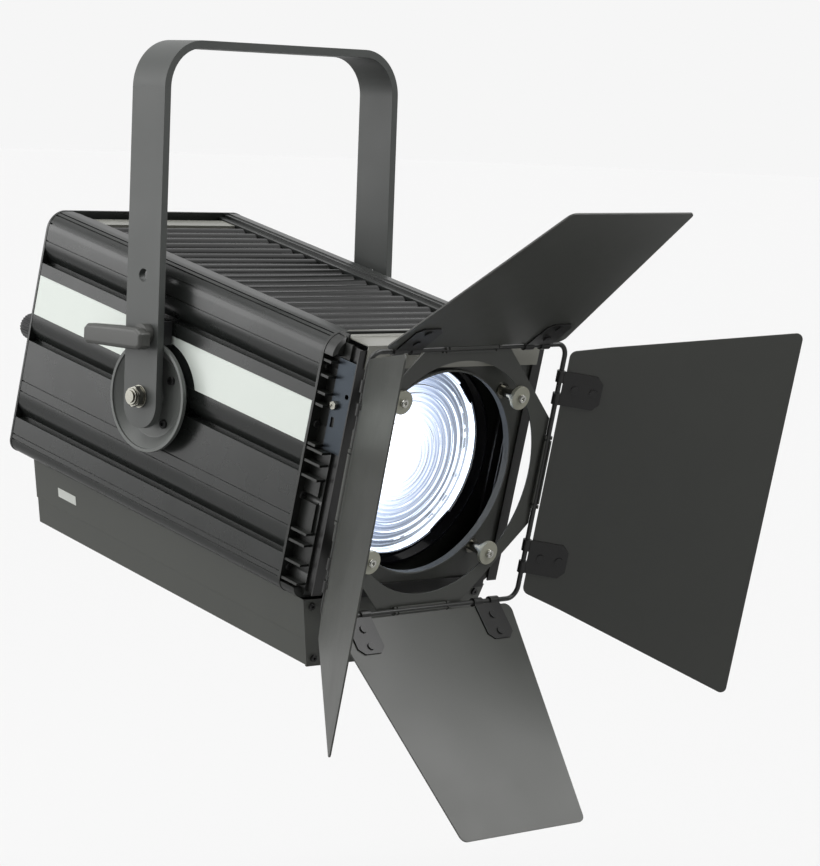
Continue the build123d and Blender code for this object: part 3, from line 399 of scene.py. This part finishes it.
softPieces = {  # node: (look, body, slot, rounding in mm)
    "yoke": ("yokePaint", "yoke", "yoke_paint", 0.7),
    "brake_shoe": ("blackPlastic", "yoke", "black_plastic", 0.4),
    "tilt_disc_left": ("discPaint", "head", "grey_casting", 0.5),
    "tilt_disc_right": ("discPaint", "head", "grey_casting", 0.5),
    "side_panel_left": ("bodyPaint", "head", "body_paint", 0.35),
    "side_panel_right": ("bodyPaint", "head", "body_paint", 0.35),
    "rear_plate": ("bodyPaint", "head", "body_paint", 0.4),
    "louvre_rails": ("bodyPaint", "head", "body_paint", 0.2),
    # top strips and top catch take the pale strip finish, whose grey is painted sheen
    "top_strips": ("stripPaintedSheen", "head", "strip_paint", 0.3),
    "front_cap": ("castPaint", "head", "grey_casting", 0.4),
    "runners": ("blackSteel", "head", "black_steel", 0.3),
    "runner_brackets": ("zincPlate", "head", "zinc", 0.3),
    "top_catch": ("stripPaintedSheen", "catch", "zinc", 0.3),
    "gear_box": ("boxPaint", "head", "box_paint", 0.7),
    "gear_cover": ("boxPaint", "head", "box_paint", 0.9),
    "gear_front": ("boxPaint", "head", "box_paint", 0.5),
    "door_base": ("sheetPaint", "head", "door_paint", 0.3),
    "ring_plate": ("sheetPaint", "ring", "door_paint", 0.25),
    "carriage": ("aluminium", "carriage", "sink_aluminium", 0.3),
    "leaf_top": ("sheetPaint", "door_top", "door_paint", 0.4),
    "leaf_bottom": ("sheetPaint", "door_bottom", "door_paint", 0.4),
    "leaf_left": ("sheetPaint", "door_left", "door_paint", 0.4),
    "leaf_right": ("sheetPaint", "door_right", "door_paint", 0.4),
    "hinges_top": ("blackSteel", "door_top", "zinc", 0.25),
    "hinges_bottom": ("blackSteel", "door_bottom", "zinc", 0.25),
    "hinges_left": ("blackSteel", "door_left", "zinc", 0.25),
    "hinges_right": ("blackSteel", "door_right", "zinc", 0.25),
    "lock_lever": ("leverPaint", "lock_lever", "lever_paint", 0.6),
    "pivot_nuts": ("nutSteel", "head", "plated_steel", 0.35),
    "pivot_washers": ("nutSteel", "head", "plated_steel", 0.25),
    "roller_washers": ("washerOlive", "head", "washer_grey", 0.3),
}
for node, (look, body, slot, width) in softPieces.items():
    hand(softened(node, width), look, body, slot, node)
print("softened pieces:", len(softPieces))

plainNodes = {  # nodes that keep their CAD mesh: their look
    "thrust_washers": "nylonWhite", "lever_stud": "brightSteel", "pivot_bolts": "nutSteel",
    "side_strips": "labelPale", "top_baffle": "slatPaint", "floor_plate": "bodyPaint",
              "lens_barrel": "barrelPaint",
    "fresnel_lens": "lensGlass", "lens_ring": "barrelPaint", "led_driver": "aluminium",
              "control_board": "boardGreen",
    "data_sockets": "blackPlastic", "mains_inlet": "blackPlastic", "guide_rods": "brightSteel",
    "led_module": "phosphor", "fan_frame": "blackPlastic", "fan_rotor": "blackPlastic",
              "lead_screw": "brightSteel",
    "roller_studs": "nutSteel", "wire_frame": "rodSteel",
}
for node, look in plainNodes.items():
    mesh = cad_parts[node].data
    mesh.materials.clear()
    mesh.materials.append(looks[look])


# geometry nodes helpers
def geometryGroup(name, inputs):
    tree, gin, gout = newGroup(name, "GeometryNodeTree",
                               [("Geometry", "NodeSocketGeometry", None)] + inputs
                               + [("Material", "NodeSocketMaterial", None)],
                               [("Geometry", "NodeSocketGeometry")])
    return tree, gin, gout


def closeTree(tree, gin, gout, geometry):
    real = addNode(tree, "GeometryNodeRealizeInstances")
    paint = addNode(tree, "GeometryNodeSetMaterial")
    wire(tree, (geometry, real.inputs[0]), (real.outputs[0], paint.inputs["Geometry"]),
         (gin.outputs["Material"], paint.inputs["Material"]),
         (paint.outputs["Geometry"], gout.inputs["Geometry"]))


def socketOf(tree, label):
    for item in tree.interface.items_tree:
        if item.name == label and item.in_out == "INPUT":
            return item.identifier


# runs a tree over a base mesh, sets the result down in its frame and makes it a plain mesh
def grown(name, base, tree, values, look, matrix, crease=35.0):
    piece = link(name + "_base", base)
    modifier = piece.modifiers.new("grow", "NODES")
    modifier.node_group = tree
    for label, value in values.items():
        modifier[socketOf(tree, label)] = value
    modifier[socketOf(tree, "Material")] = looks[look]
    piece = plainMesh(piece, name)
    piece.data.transform(matrix)
    piece.data.shade_smooth()
    piece.data.set_sharp_from_angle(angle=math.radians(crease))
    return piece


def maths(tree, operation, *inputs):
    node = addNode(tree, "ShaderNodeMath", operation=operation)
    for index, source in enumerate(inputs):
        if isinstance(source, (int, float)):
            node.inputs[index].default_value = source
        else:
            tree.links.new(source, node.inputs[index])
    return node.outputs["Value"]


def upward(tree, height):
    node = addNode(tree, "ShaderNodeCombineXYZ")
    tree.links.new(height, node.inputs["Z"])
    return node.outputs["Vector"]


def extruded(tree, mesh, offset, selection=None):
    node = addNode(tree, "GeometryNodeExtrudeMesh", {"Individual": False, "Offset Scale": 1.0})
    wire(tree, (mesh, node.inputs["Mesh"]), (offset, node.inputs["Offset"]))
    if selection is not None:
        tree.links.new(selection, node.inputs["Selection"])
    return node.outputs["Mesh"], node.outputs["Top"]


def scaledFaces(tree, mesh, selection, factor):
    node = addNode(tree, "GeometryNodeScaleElements")
    wire(tree, (mesh, node.inputs["Geometry"]), (selection, node.inputs["Selection"]),
         (factor, node.inputs["Scale"]))
    return node.outputs["Geometry"]


# the base face turned over closes the body that was drawn up from it
def closedBelow(tree, first, body, weld=0.0005):
    flipped = addNode(tree, "GeometryNodeFlipFaces")
    both = addNode(tree, "GeometryNodeJoinGeometry")
    merged = addNode(tree, "GeometryNodeMergeByDistance", {"Distance": weld})
    wire(tree, (first, flipped.inputs["Mesh"]), (flipped.outputs["Mesh"], both.inputs[0]),
         (body, both.inputs[0]), (both.outputs[0], merged.inputs["Geometry"]))
    return merged.outputs["Geometry"]


# a screw with a chamfered, socketed head on every point, turned to the point's axis, sizes in mm
screwShape = {"bendShare": 0.25, "shankSides": 16}


def buildFasteners():
    v = screwShape
    tree, gin, gout = geometryGroup("fasteners", [
        ("Head Radius", "NodeSocketFloat", 4.0), ("Head Height", "NodeSocketFloat", 2.5),
        ("Chamfer", "NodeSocketFloat", 0.88), ("Socket Radius", "NodeSocketFloat", 1.5),
        ("Socket Depth", "NodeSocketFloat", 1.2), ("Shank Radius", "NodeSocketFloat", 2.0),
        ("Shank Length", "NodeSocketFloat", 8.0), ("Sides", "NodeSocketInt", 24)])
    disc = addNode(tree, "GeometryNodeMeshCircle", fill_type="NGON")
    wire(tree, (gin.outputs["Sides"], disc.inputs["Vertices"]),
         (gin.outputs["Head Radius"], disc.inputs["Radius"]))
    straight = maths(tree, "MULTIPLY", gin.outputs["Head Height"], 1.0 - v["bendShare"])
    bend = maths(tree, "MULTIPLY", gin.outputs["Head Height"], v["bendShare"])
    sunk = maths(tree, "MULTIPLY", gin.outputs["Socket Depth"], -1.0)
    rim = maths(tree, "MULTIPLY", gin.outputs["Head Radius"], gin.outputs["Chamfer"])
    inset = maths(tree, "DIVIDE", gin.outputs["Socket Radius"], rim)
    nothing = maths(tree, "MULTIPLY", gin.outputs["Head Height"], 0.0)
    mesh, top = extruded(tree, disc.outputs["Mesh"], upward(tree, straight))
    mesh, top = extruded(tree, mesh, upward(tree, bend), top)
    mesh = scaledFaces(tree, mesh, top, gin.outputs["Chamfer"])
    mesh, top = extruded(tree, mesh, upward(tree, nothing), top)
    mesh = scaledFaces(tree, mesh, top, inset)
    mesh, top = extruded(tree, mesh, upward(tree, sunk), top)
    head = closedBelow(tree, disc.outputs["Mesh"], mesh)
    shank = addNode(tree, "GeometryNodeMeshCylinder", {"Vertices": v["shankSides"]})
    lower = addNode(tree, "GeometryNodeTransform")
    wire(tree, (gin.outputs["Shank Radius"], shank.inputs["Radius"]),
         (gin.outputs["Shank Length"], shank.inputs["Depth"]),
         (shank.outputs["Mesh"], lower.inputs["Geometry"]),
         (upward(tree, maths(tree, "MULTIPLY", gin.outputs["Shank Length"], -0.5)),
          lower.inputs["Translation"]))
    whole = addNode(tree, "GeometryNodeJoinGeometry")
    axis = addNode(tree, "GeometryNodeInputNamedAttribute", {"Name": "axis"}, data_type="FLOAT_VECTOR")
    aim = addNode(tree, "FunctionNodeAlignRotationToVector", axis="Z")
    spots = addNode(tree, "GeometryNodeInstanceOnPoints")
    wire(tree, (head, whole.inputs[0]), (lower.outputs["Geometry"], whole.inputs[0]),
         (axis.outputs["Attribute"], aim.inputs["Vector"]), (gin.outputs["Geometry"], spots.inputs["Points"]),
         (whole.outputs[0], spots.inputs["Instance"]), (aim.outputs["Rotation"], spots.inputs["Rotation"]))
    closeTree(tree, gin, gout, spots.outputs["Instances"])
    return tree


fastenerTree = buildFasteners()


def pointsMesh(name, spots):
    mesh = bpy.data.meshes.new(name)
    mesh.from_pydata([at for at, axis in spots], [], [])
    attribute = mesh.attributes.new("axis", "FLOAT_VECTOR", "POINT")
    for index, (at, axis) in enumerate(spots):
        attribute.data[index].vector = axis
    return mesh


# where the screws sit in the head, in mm, and the plane under each set's heads
screwPlaces = {"bossX": 129.0, "bossHeights": (100.0, 42.0, -30.0, -103.0), "rearPlane": 216.5,
               "capPlane": -222.5,
               "gear": ((112.0, -137.0), (96.0, -192.0)), "gearPlane": -247.8, "stud": 81.0,
               "studPlane": -285.2, "disc": 22.627, "discPlane": 141.5, "bracket": (126.5, -241.0, 66.0)}
sides = (-1, 1)


# the four corners of a square about the middle
def cornerSpots(reach):
    return [(across * reach, along * reach) for across in sides for along in sides]


bossSpots = [(side * screwPlaces["bossX"], height) for side in sides for height in screwPlaces["bossHeights"]]
gearSpots = [(side * x, z) for x, z in screwPlaces["gear"] for side in sides]
studSpots = cornerSpots(screwPlaces["stud"])
discSpots = cornerSpots(screwPlaces["disc"])
bracketX, bracketY, bracketZ = screwPlaces["bracket"]
panelScrew = {"Head Radius": 3.8, "Head Height": 2.2, "Socket Radius": 1.4, "Socket Depth": 1.2,
              "Shank Radius": 2.0, "Shank Length": 12.0}


# screws on a plane across the beam, looking to the rear (1) or the front (-1)
def facingScrews(spots, plane, way):
    return [((x, screwPlaces[plane], z), (0, way, 0)) for x, z in spots]


fasteners = {  # node: (points and axes in the head, look, sizes)
    "rear_screws": (facingScrews(bossSpots, "rearPlane", 1), "blackSteel", panelScrew),
    "cap_screws": (facingScrews(bossSpots, "capPlane", -1), "blackSteel", panelScrew),
    "gear_screws": (facingScrews(gearSpots, "gearPlane", -1), "blackSteel",
                    {**panelScrew, "Shank Length": 8.0}),
    "disc_screws": ([((side * screwPlaces["discPlane"], y, z), (side, 0, 0)) for side in sides
                     for y, z in discSpots], "blackSteel",
                    {"Head Radius": 4.5, "Head Height": 3.0, "Socket Radius": 2.1, "Socket Depth": 1.8,
                     "Shank Radius": 2.5, "Shank Length": 10.0}),
    "bracket_screws": ([((side * bracketX, bracketY, bracketZ), (side, 0, 0)) for side in sides], "nutSteel",
                       {"Head Radius": 4.6, "Head Height": 4.0, "Socket Radius": 1.6, "Socket Depth": 0.5,
                        "Shank Radius": 2.5, "Shank Length": 4.5, "Sides": 6, "Chamfer": 0.92}),
    "roller_screws": (facingScrews(studSpots, "studPlane", -1), "brightSteel",
                      {"Head Radius": 4.4, "Head Height": 3.2, "Socket Radius": 2.0, "Socket Depth": 1.8,
                       "Shank Radius": 2.5, "Shank Length": 12.0}),
}
platedSets = ("disc_screws", "bracket_screws", "roller_screws")
for node, (spots, look, sizes) in fasteners.items():
    piece = grown(node + "_piece", pointsMesh(node, spots), fastenerTree, sizes, look, headFrame)
    hand(piece, look, "head", "plated_steel" if node in platedSets else "black_steel", node)
print("fastener sets:", len(fasteners))

# louvre slats
slatValues = {"count": 19, "first": 169.5, "pitch": 19.639, "half": 91.5, "top": 128.0, "smooth": 4,
              "section": [(2.2, -3.4), (1.4, -0.8), (-0.6, 0.0), (-3.0, -0.3), (-6.5, -1.9), (-10.0, -4.8),
                          (-12.6, -9.0), (-11.2, -9.8), (-8.7, -6.2), (-5.6, -3.7), (-2.6, -2.2),
                          (-0.6, -1.8), (0.2, -2.4), (0.8, -4.0)]}


# a closed curve through the points, with a few steps between each pair
def rounded(points, steps):
    result = []
    for index in range(len(points)):
        a, b, c, d = (Vector(points[(index + k) % len(points)]) for k in (-1, 0, 1, 2))
        for step in range(steps):
            t = step / steps
            result.append(0.5 * (2 * b + (c - a) * t + (2 * a - 5 * b + 4 * c - d) * t * t
                                 + (3 * b - a - 3 * c + d) * t ** 3))
    return result


def sectionMesh(name, points, x):
    mesh = bpy.data.meshes.new(name)
    mesh.from_pydata([(x, p[0], p[1]) for p in points], [], [list(range(len(points)))])
    if mesh.polygons[0].normal.x < 0:
        mesh.flip_normals()
    return mesh


def buildSlatRun():
    tree, gin, gout = geometryGroup("slatRun", [
        ("Count", "NodeSocketInt", 19), ("Pitch", "NodeSocketFloat", 20.0),
        ("Length", "NodeSocketFloat", 180.0)])
    along = addNode(tree, "ShaderNodeCombineXYZ")
    back = addNode(tree, "ShaderNodeCombineXYZ")
    wire(tree, (gin.outputs["Length"], along.inputs["X"]),
         (maths(tree, "MULTIPLY", gin.outputs["Pitch"], -1.0), back.inputs["Y"]))
    body, top = extruded(tree, gin.outputs["Geometry"], along.outputs["Vector"])
    slat = closedBelow(tree, gin.outputs["Geometry"], body)
    row = addNode(tree, "GeometryNodeMeshLine")
    spots = addNode(tree, "GeometryNodeInstanceOnPoints")
    wire(tree, (gin.outputs["Count"], row.inputs["Count"]), (back.outputs["Vector"], row.inputs["Offset"]),
         (row.outputs["Mesh"], spots.inputs["Points"]), (slat, spots.inputs["Instance"]))
    closeTree(tree, gin, gout, spots.outputs["Instances"])
    return tree


def makeSlats():
    v = slatValues
    base = sectionMesh("slat_section", rounded(v["section"], v["smooth"]), -v["half"])
    sizes = {"Count": v["count"], "Pitch": v["pitch"], "Length": 2 * v["half"]}
    start = headFrame @ Matrix.Translation((0, v["first"], v["top"]))
    return grown("louvre_slats_piece", base, buildSlatRun(), sizes, "slatPaint", start)


hand(makeSlats(), "slatPaint", "head", "body_paint", "louvre_slats")
print("slats:", slatValues["count"])

# heat sink
sinkValues = {"low": (-80.0, 64.0, -80.0), "plate": (160.0, 7.0, 165.0), "fins": 17, "pitch": 9.85,
              "fin": (2.4, 43.5, 165.0), "start": 6.5}


def buildFinRun():
    tree, gin, gout = geometryGroup("finRun", [
        ("Plate", "NodeSocketVector", (160, 7, 165)), ("Fin", "NodeSocketVector", (2.4, 43, 165)),
        ("Start", "NodeSocketFloat", 6.5), ("Count", "NodeSocketInt", 17),
        ("Pitch", "NodeSocketFloat", 9.85)])

    def cornered(size):
        cube = addNode(tree, "GeometryNodeMeshCube")
        half = addNode(tree, "ShaderNodeVectorMath", {"Scale": 0.5}, operation="SCALE")
        shift = addNode(tree, "GeometryNodeTransform")
        wire(tree, (size, cube.inputs["Size"]), (size, half.inputs[0]),
             (cube.outputs["Mesh"], shift.inputs["Geometry"]),
             (half.outputs["Vector"], shift.inputs["Translation"]))
        return shift.outputs["Geometry"]

    depth = addNode(tree, "ShaderNodeCombineXYZ")
    step = addNode(tree, "ShaderNodeCombineXYZ")
    row = addNode(tree, "GeometryNodeMeshLine")
    spots = addNode(tree, "GeometryNodeInstanceOnPoints")
    both = addNode(tree, "GeometryNodeJoinGeometry")
    wire(tree, (gin.outputs["Start"], depth.inputs["Y"]), (gin.outputs["Pitch"], step.inputs["X"]),
         (gin.outputs["Count"], row.inputs["Count"]), (depth.outputs["Vector"], row.inputs["Start Location"]),
         (step.outputs["Vector"], row.inputs["Offset"]), (row.outputs["Mesh"], spots.inputs["Points"]),
         (cornered(gin.outputs["Fin"]), spots.inputs["Instance"]),
         (spots.outputs["Instances"], both.inputs[0]),
         (cornered(gin.outputs["Plate"]), both.inputs[0]))
    closeTree(tree, gin, gout, both.outputs[0])
    return tree


def makeSink():
    v = sinkValues
    sizes = {"Plate": v["plate"], "Fin": v["fin"], "Start": v["start"], "Count": v["fins"],
             "Pitch": v["pitch"]}
    base = bpy.data.meshes.new("sink_base")
    return grown("heat_sink_piece", base, buildFinRun(), sizes, "aluminium",
                 headFrame @ Matrix.Translation(v["low"]))


hand(makeSink(), "aluminium", "carriage", "sink_aluminium", "heat_sink")

# focus knob
knobValues = {"radius": 14.0, "ridges": 24, "ridge": 0.07, "length": 26.0, "crown": 4.0, "taper": 0.86,
              "face": 0.78, "recess": 0.8, "x": -112.0, "y": 217.5}


def buildKnob():
    tree, gin, gout = geometryGroup("knurledKnob", [
        ("Radius", "NodeSocketFloat", 14.0), ("Ridges", "NodeSocketInt", 24),
        ("Ridge Depth", "NodeSocketFloat", 0.07),
        ("Length", "NodeSocketFloat", 26.0), ("Crown", "NodeSocketFloat", 4.0),
        ("Taper", "NodeSocketFloat", 0.86),
        ("Face", "NodeSocketFloat", 0.78), ("Recess", "NodeSocketFloat", 0.8)])
    perRidge = 4.0  # rim points in each ridge, the first two drawn in
    disc = addNode(tree, "GeometryNodeMeshCircle", fill_type="NGON")
    index = addNode(tree, "GeometryNodeInputIndex")
    where = addNode(tree, "GeometryNodeInputPosition")
    inward = addNode(tree, "ShaderNodeVectorMath", operation="SCALE")
    moved = addNode(tree, "GeometryNodeSetPosition")
    wire(tree, (maths(tree, "MULTIPLY", gin.outputs["Ridges"], perRidge), disc.inputs["Vertices"]),
         (gin.outputs["Radius"], disc.inputs["Radius"]), (disc.outputs["Mesh"], moved.inputs["Geometry"]),
         (maths(tree, "LESS_THAN", maths(tree, "MODULO", index.outputs[0], perRidge), 1.5),
          moved.inputs["Selection"]),
         (where.outputs["Position"], inward.inputs[0]),
         (maths(tree, "MULTIPLY", gin.outputs["Ridge Depth"], -1.0), inward.inputs["Scale"]),
         (inward.outputs["Vector"], moved.inputs["Offset"]))
    nothing = maths(tree, "MULTIPLY", gin.outputs["Length"], 0.0)
    mesh, top = extruded(tree, moved.outputs["Geometry"], upward(tree, gin.outputs["Length"]))
    mesh, top = extruded(tree, mesh, upward(tree, gin.outputs["Crown"]), top)
    mesh = scaledFaces(tree, mesh, top, gin.outputs["Taper"])
    mesh, top = extruded(tree, mesh, upward(tree, nothing), top)
    mesh = scaledFaces(tree, mesh, top, gin.outputs["Face"])
    mesh, top = extruded(tree, mesh, upward(tree, maths(tree, "MULTIPLY", gin.outputs["Recess"], -1.0)), top)
    closeTree(tree, gin, gout, closedBelow(tree, moved.outputs["Geometry"], mesh))
    return tree


def makeKnob():
    v = knobValues
    sizes = {"Radius": v["radius"], "Ridges": v["ridges"], "Ridge Depth": v["ridge"], "Length": v["length"],
             "Crown": v["crown"], "Taper": v["taper"], "Face": v["face"], "Recess": v["recess"]}
    start = headFrame @ Matrix.Translation((v["x"], v["y"], 0)) @ turn(-90, "X")
    return grown("focus_knob_piece", bpy.data.meshes.new("knob_base"), buildKnob(), sizes, "blackPlastic",
                 start)


hand(makeKnob(), "blackPlastic", "focus", "black_plastic", "focus_knob")
print("sink and knob ready")

# blank rating sticker on the gear box's sloping side
stickerValues = {"y": (118.0, 148.0), "z": (-158.0, -148.0), "topZ": -129.0, "topHalf": 124.0,
                 "slope": 22.0 / 71.0, "lift": 0.05, "thick": 0.2}


def makeSticker():
    v = stickerValues
    corners = []
    (front, rear), (low, high) = v["y"], v["z"]
    for out in (v["lift"], v["lift"] + v["thick"]):
        for y, z in ((front, low), (rear, low), (rear, high), (front, high)):
            half = v["topHalf"] - (v["topZ"] - z) * v["slope"]
            corners.append((-half - out, y, z))
    faces = [(0, 1, 2, 3), (4, 5, 6, 7), (0, 1, 5, 4), (1, 2, 6, 5), (2, 3, 7, 6), (3, 0, 4, 7)]
    mesh = bpy.data.meshes.new("rating_sticker")
    mesh.from_pydata(corners, [], faces)
    bm = bmesh.new()
    bm.from_mesh(mesh)
    bmesh.ops.recalc_face_normals(bm, faces=bm.faces)
    bm.to_mesh(mesh)
    bm.free()
    mesh.transform(headFrame)
    return link("rating_sticker", mesh)


hand(makeSticker(), "stickerWhite", "head", "pale_trim")

# lamp glow
glow = {"radius": 101.0, "y": -176.0, "steps": 96}


def makeGlow():
    bm = bmesh.new()
    bmesh.ops.create_circle(bm, cap_ends=True, segments=glow["steps"], radius=glow["radius"])
    bm.transform(Matrix.Translation((0, glow["y"], 0)) @ turn(90, "X"))
    mesh = bpy.data.meshes.new("lamp_glow")
    bm.to_mesh(mesh)
    bm.free()
    mesh.transform(headFrame)
    return link("lamp_glow", mesh)


hand(makeGlow(), "lampGlow", "head", "lens_glass")

# floor, light and camera
backGrey = 0.922
stageValues = {"floorZ": -0.95, "floorSize": 160.0, "floorAlbedo": 0.2, "floorGlow": 0.615, "floorDark": 0.34}
skyValues = {"low": 0.1, "high": 0.85, "back": (0.3, 0.94, 0.1), "backGain": 0.75}
suns = {
    "highSoft": {"from": (-0.5, 0.1, 1.0), "angle": 40.0, "power": 1.2},
    "sideSoft": {"from": (-1.0, 0.7, 0.35), "angle": 50.0, "power": 1.2},
    "frontSoft": {"from": (0.45, -0.6, 0.75), "angle": 50.0, "power": 2.2},
}
panels = {
    "rearSoft": {"at": (-1.5, 1.7, 0.0), "look": (-0.1, 0.15, -0.35), "size": (0.8, 1.2), "power": 7.0},
}


def grey(value):
    return value, value, value, 1


# one look for the camera and another for the light that reaches the object
def cameraMix(tree, seen, other, out):
    path = addNode(tree, "ShaderNodeLightPath")
    mix = addNode(tree, "ShaderNodeMixShader")
    wire(tree, (path.outputs["Is Camera Ray"], mix.inputs["Fac"]), (other, mix.inputs[1]),
         (seen, mix.inputs[2]), (mix.outputs["Shader"], out.inputs["Surface"]))


def makeWorld():
    v = skyValues
    world = bpy.data.worlds.new("studio")
    world.use_nodes = True
    bpy.context.scene.world = world
    tree = world.node_tree
    plain = tree.nodes["Background"]
    plain.inputs["Color"].default_value = grey(backGrey)
    coord = addNode(tree, "ShaderNodeTexCoord")
    split = addNode(tree, "ShaderNodeSeparateXYZ")
    rise = addNode(tree, "ShaderNodeMapRange", {"To Min": v["low"], "To Max": v["high"]},
                   interpolation_type="SMOOTHSTEP")
    behind = addNode(tree, "ShaderNodeVectorMath", operation="DOT_PRODUCT")
    behind.inputs[1].default_value = v["back"]
    gain = addNode(tree, "ShaderNodeMapRange", {"To Min": 0.0, "To Max": v["backGain"]})
    total = addNode(tree, "ShaderNodeMath", operation="ADD")
    soft = addNode(tree, "ShaderNodeBackground")
    wire(tree, (coord.outputs["Generated"], split.inputs["Vector"]),
         (split.outputs["Z"], rise.inputs["Value"]),
         (coord.outputs["Generated"], behind.inputs[0]), (behind.outputs["Value"], gain.inputs["Value"]),
         (rise.outputs["Result"], total.inputs[0]), (gain.outputs["Result"], total.inputs[1]),
         (total.outputs["Value"], soft.inputs["Strength"]))
    cameraMix(tree, plain.outputs["Background"], soft.outputs["Background"], tree.nodes["World Output"])


def addLight(name, kind, power):
    data = bpy.data.lights.new(name, kind)
    data.energy = power
    lamp = bpy.data.objects.new(name, data)
    bpy.context.scene.collection.objects.link(lamp)
    return lamp, data


def makeStage():
    v = stageValues
    floorMesh = bpy.data.meshes.new("studio_floor")
    half = v["floorSize"] / 2
    z = v["floorZ"]
    floorMesh.from_pydata([(-half, -half, z), (half, -half, z), (half, half, z), (-half, half, z)], [],
                          [(0, 1, 2, 3)])
    floor = link("studio_floor", floorMesh)
    material, tree, shader = startMaterial("studioFloor")
    shader.inputs["Base Color"].default_value = grey(v["floorAlbedo"])
    shader.inputs["Emission Color"].default_value = grey(1)
    shader.inputs["Emission Strength"].default_value = v["floorGlow"]
    dim = addNode(tree, "ShaderNodeBsdfDiffuse")
    dim.inputs["Color"].default_value = grey(v["floorDark"])
    shader.inputs["Roughness"].default_value = 1.0
    shader.inputs["Specular IOR Level"].default_value = 0.0
    cameraMix(tree, shader.outputs["BSDF"], dim.outputs["BSDF"], tree.nodes["Material Output"])
    floor.data.materials.append(material)
    makeWorld()
    for name, v in suns.items():
        lamp, data = addLight(name, "SUN", v["power"])
        data.angle = math.radians(v["angle"])
        lamp.rotation_euler = Vector(v["from"]).to_track_quat("Z", "Y").to_euler()
    for name, v in panels.items():
        lamp, data = addLight(name, "AREA", v["power"])
        data.shape = "RECTANGLE"
        data.size, data.size_y = v["size"]
        lamp.location = v["at"]
        lamp.rotation_euler = (Vector(v["look"]) - Vector(v["at"])).to_track_quat("-Z", "Y").to_euler()


cameraValues = {"turn": 44.49, "rise": 4.87, "roll": 2.08, "distance": 3.7879,
                "target": (0.2201, 0.0, -0.0497),
                "focal": 146.42, "sensor": 36.0, "reach": 200.0}


# the camera looks from a turn and a rise about the pivot, then rolls about its own axis
def makeCamera():
    v = cameraValues
    a, e, r = (math.radians(v[key]) for key in ("turn", "rise", "roll"))
    back = Vector((-math.sin(a) * math.cos(e), -math.cos(a) * math.cos(e), math.sin(e)))
    right = (-back).cross(Vector((0, 0, 1))).normalized()
    up = right.cross(-back)
    rolledRight = math.cos(r) * right + math.sin(r) * up
    rolledUp = -math.sin(r) * right + math.cos(r) * up
    spot = Vector(v["target"]) + Vector((0, 0, -place["pivotDrop"] * mm)) + back * v["distance"]
    data = bpy.data.cameras.new("camera")
    data.lens = v["focal"]
    data.sensor_width = v["sensor"]
    data.clip_end = v["reach"]
    camera = bpy.data.objects.new("camera", data)
    bpy.context.scene.collection.objects.link(camera)
    camera.matrix_world = Matrix.Translation(spot) @ Matrix((rolledRight, rolledUp,
                                                             back)).transposed().to_4x4()
    bpy.context.scene.camera = camera


makeStage()
makeCamera()
bpy.context.scene.view_settings.view_transform = "Standard"
print("stage ready")
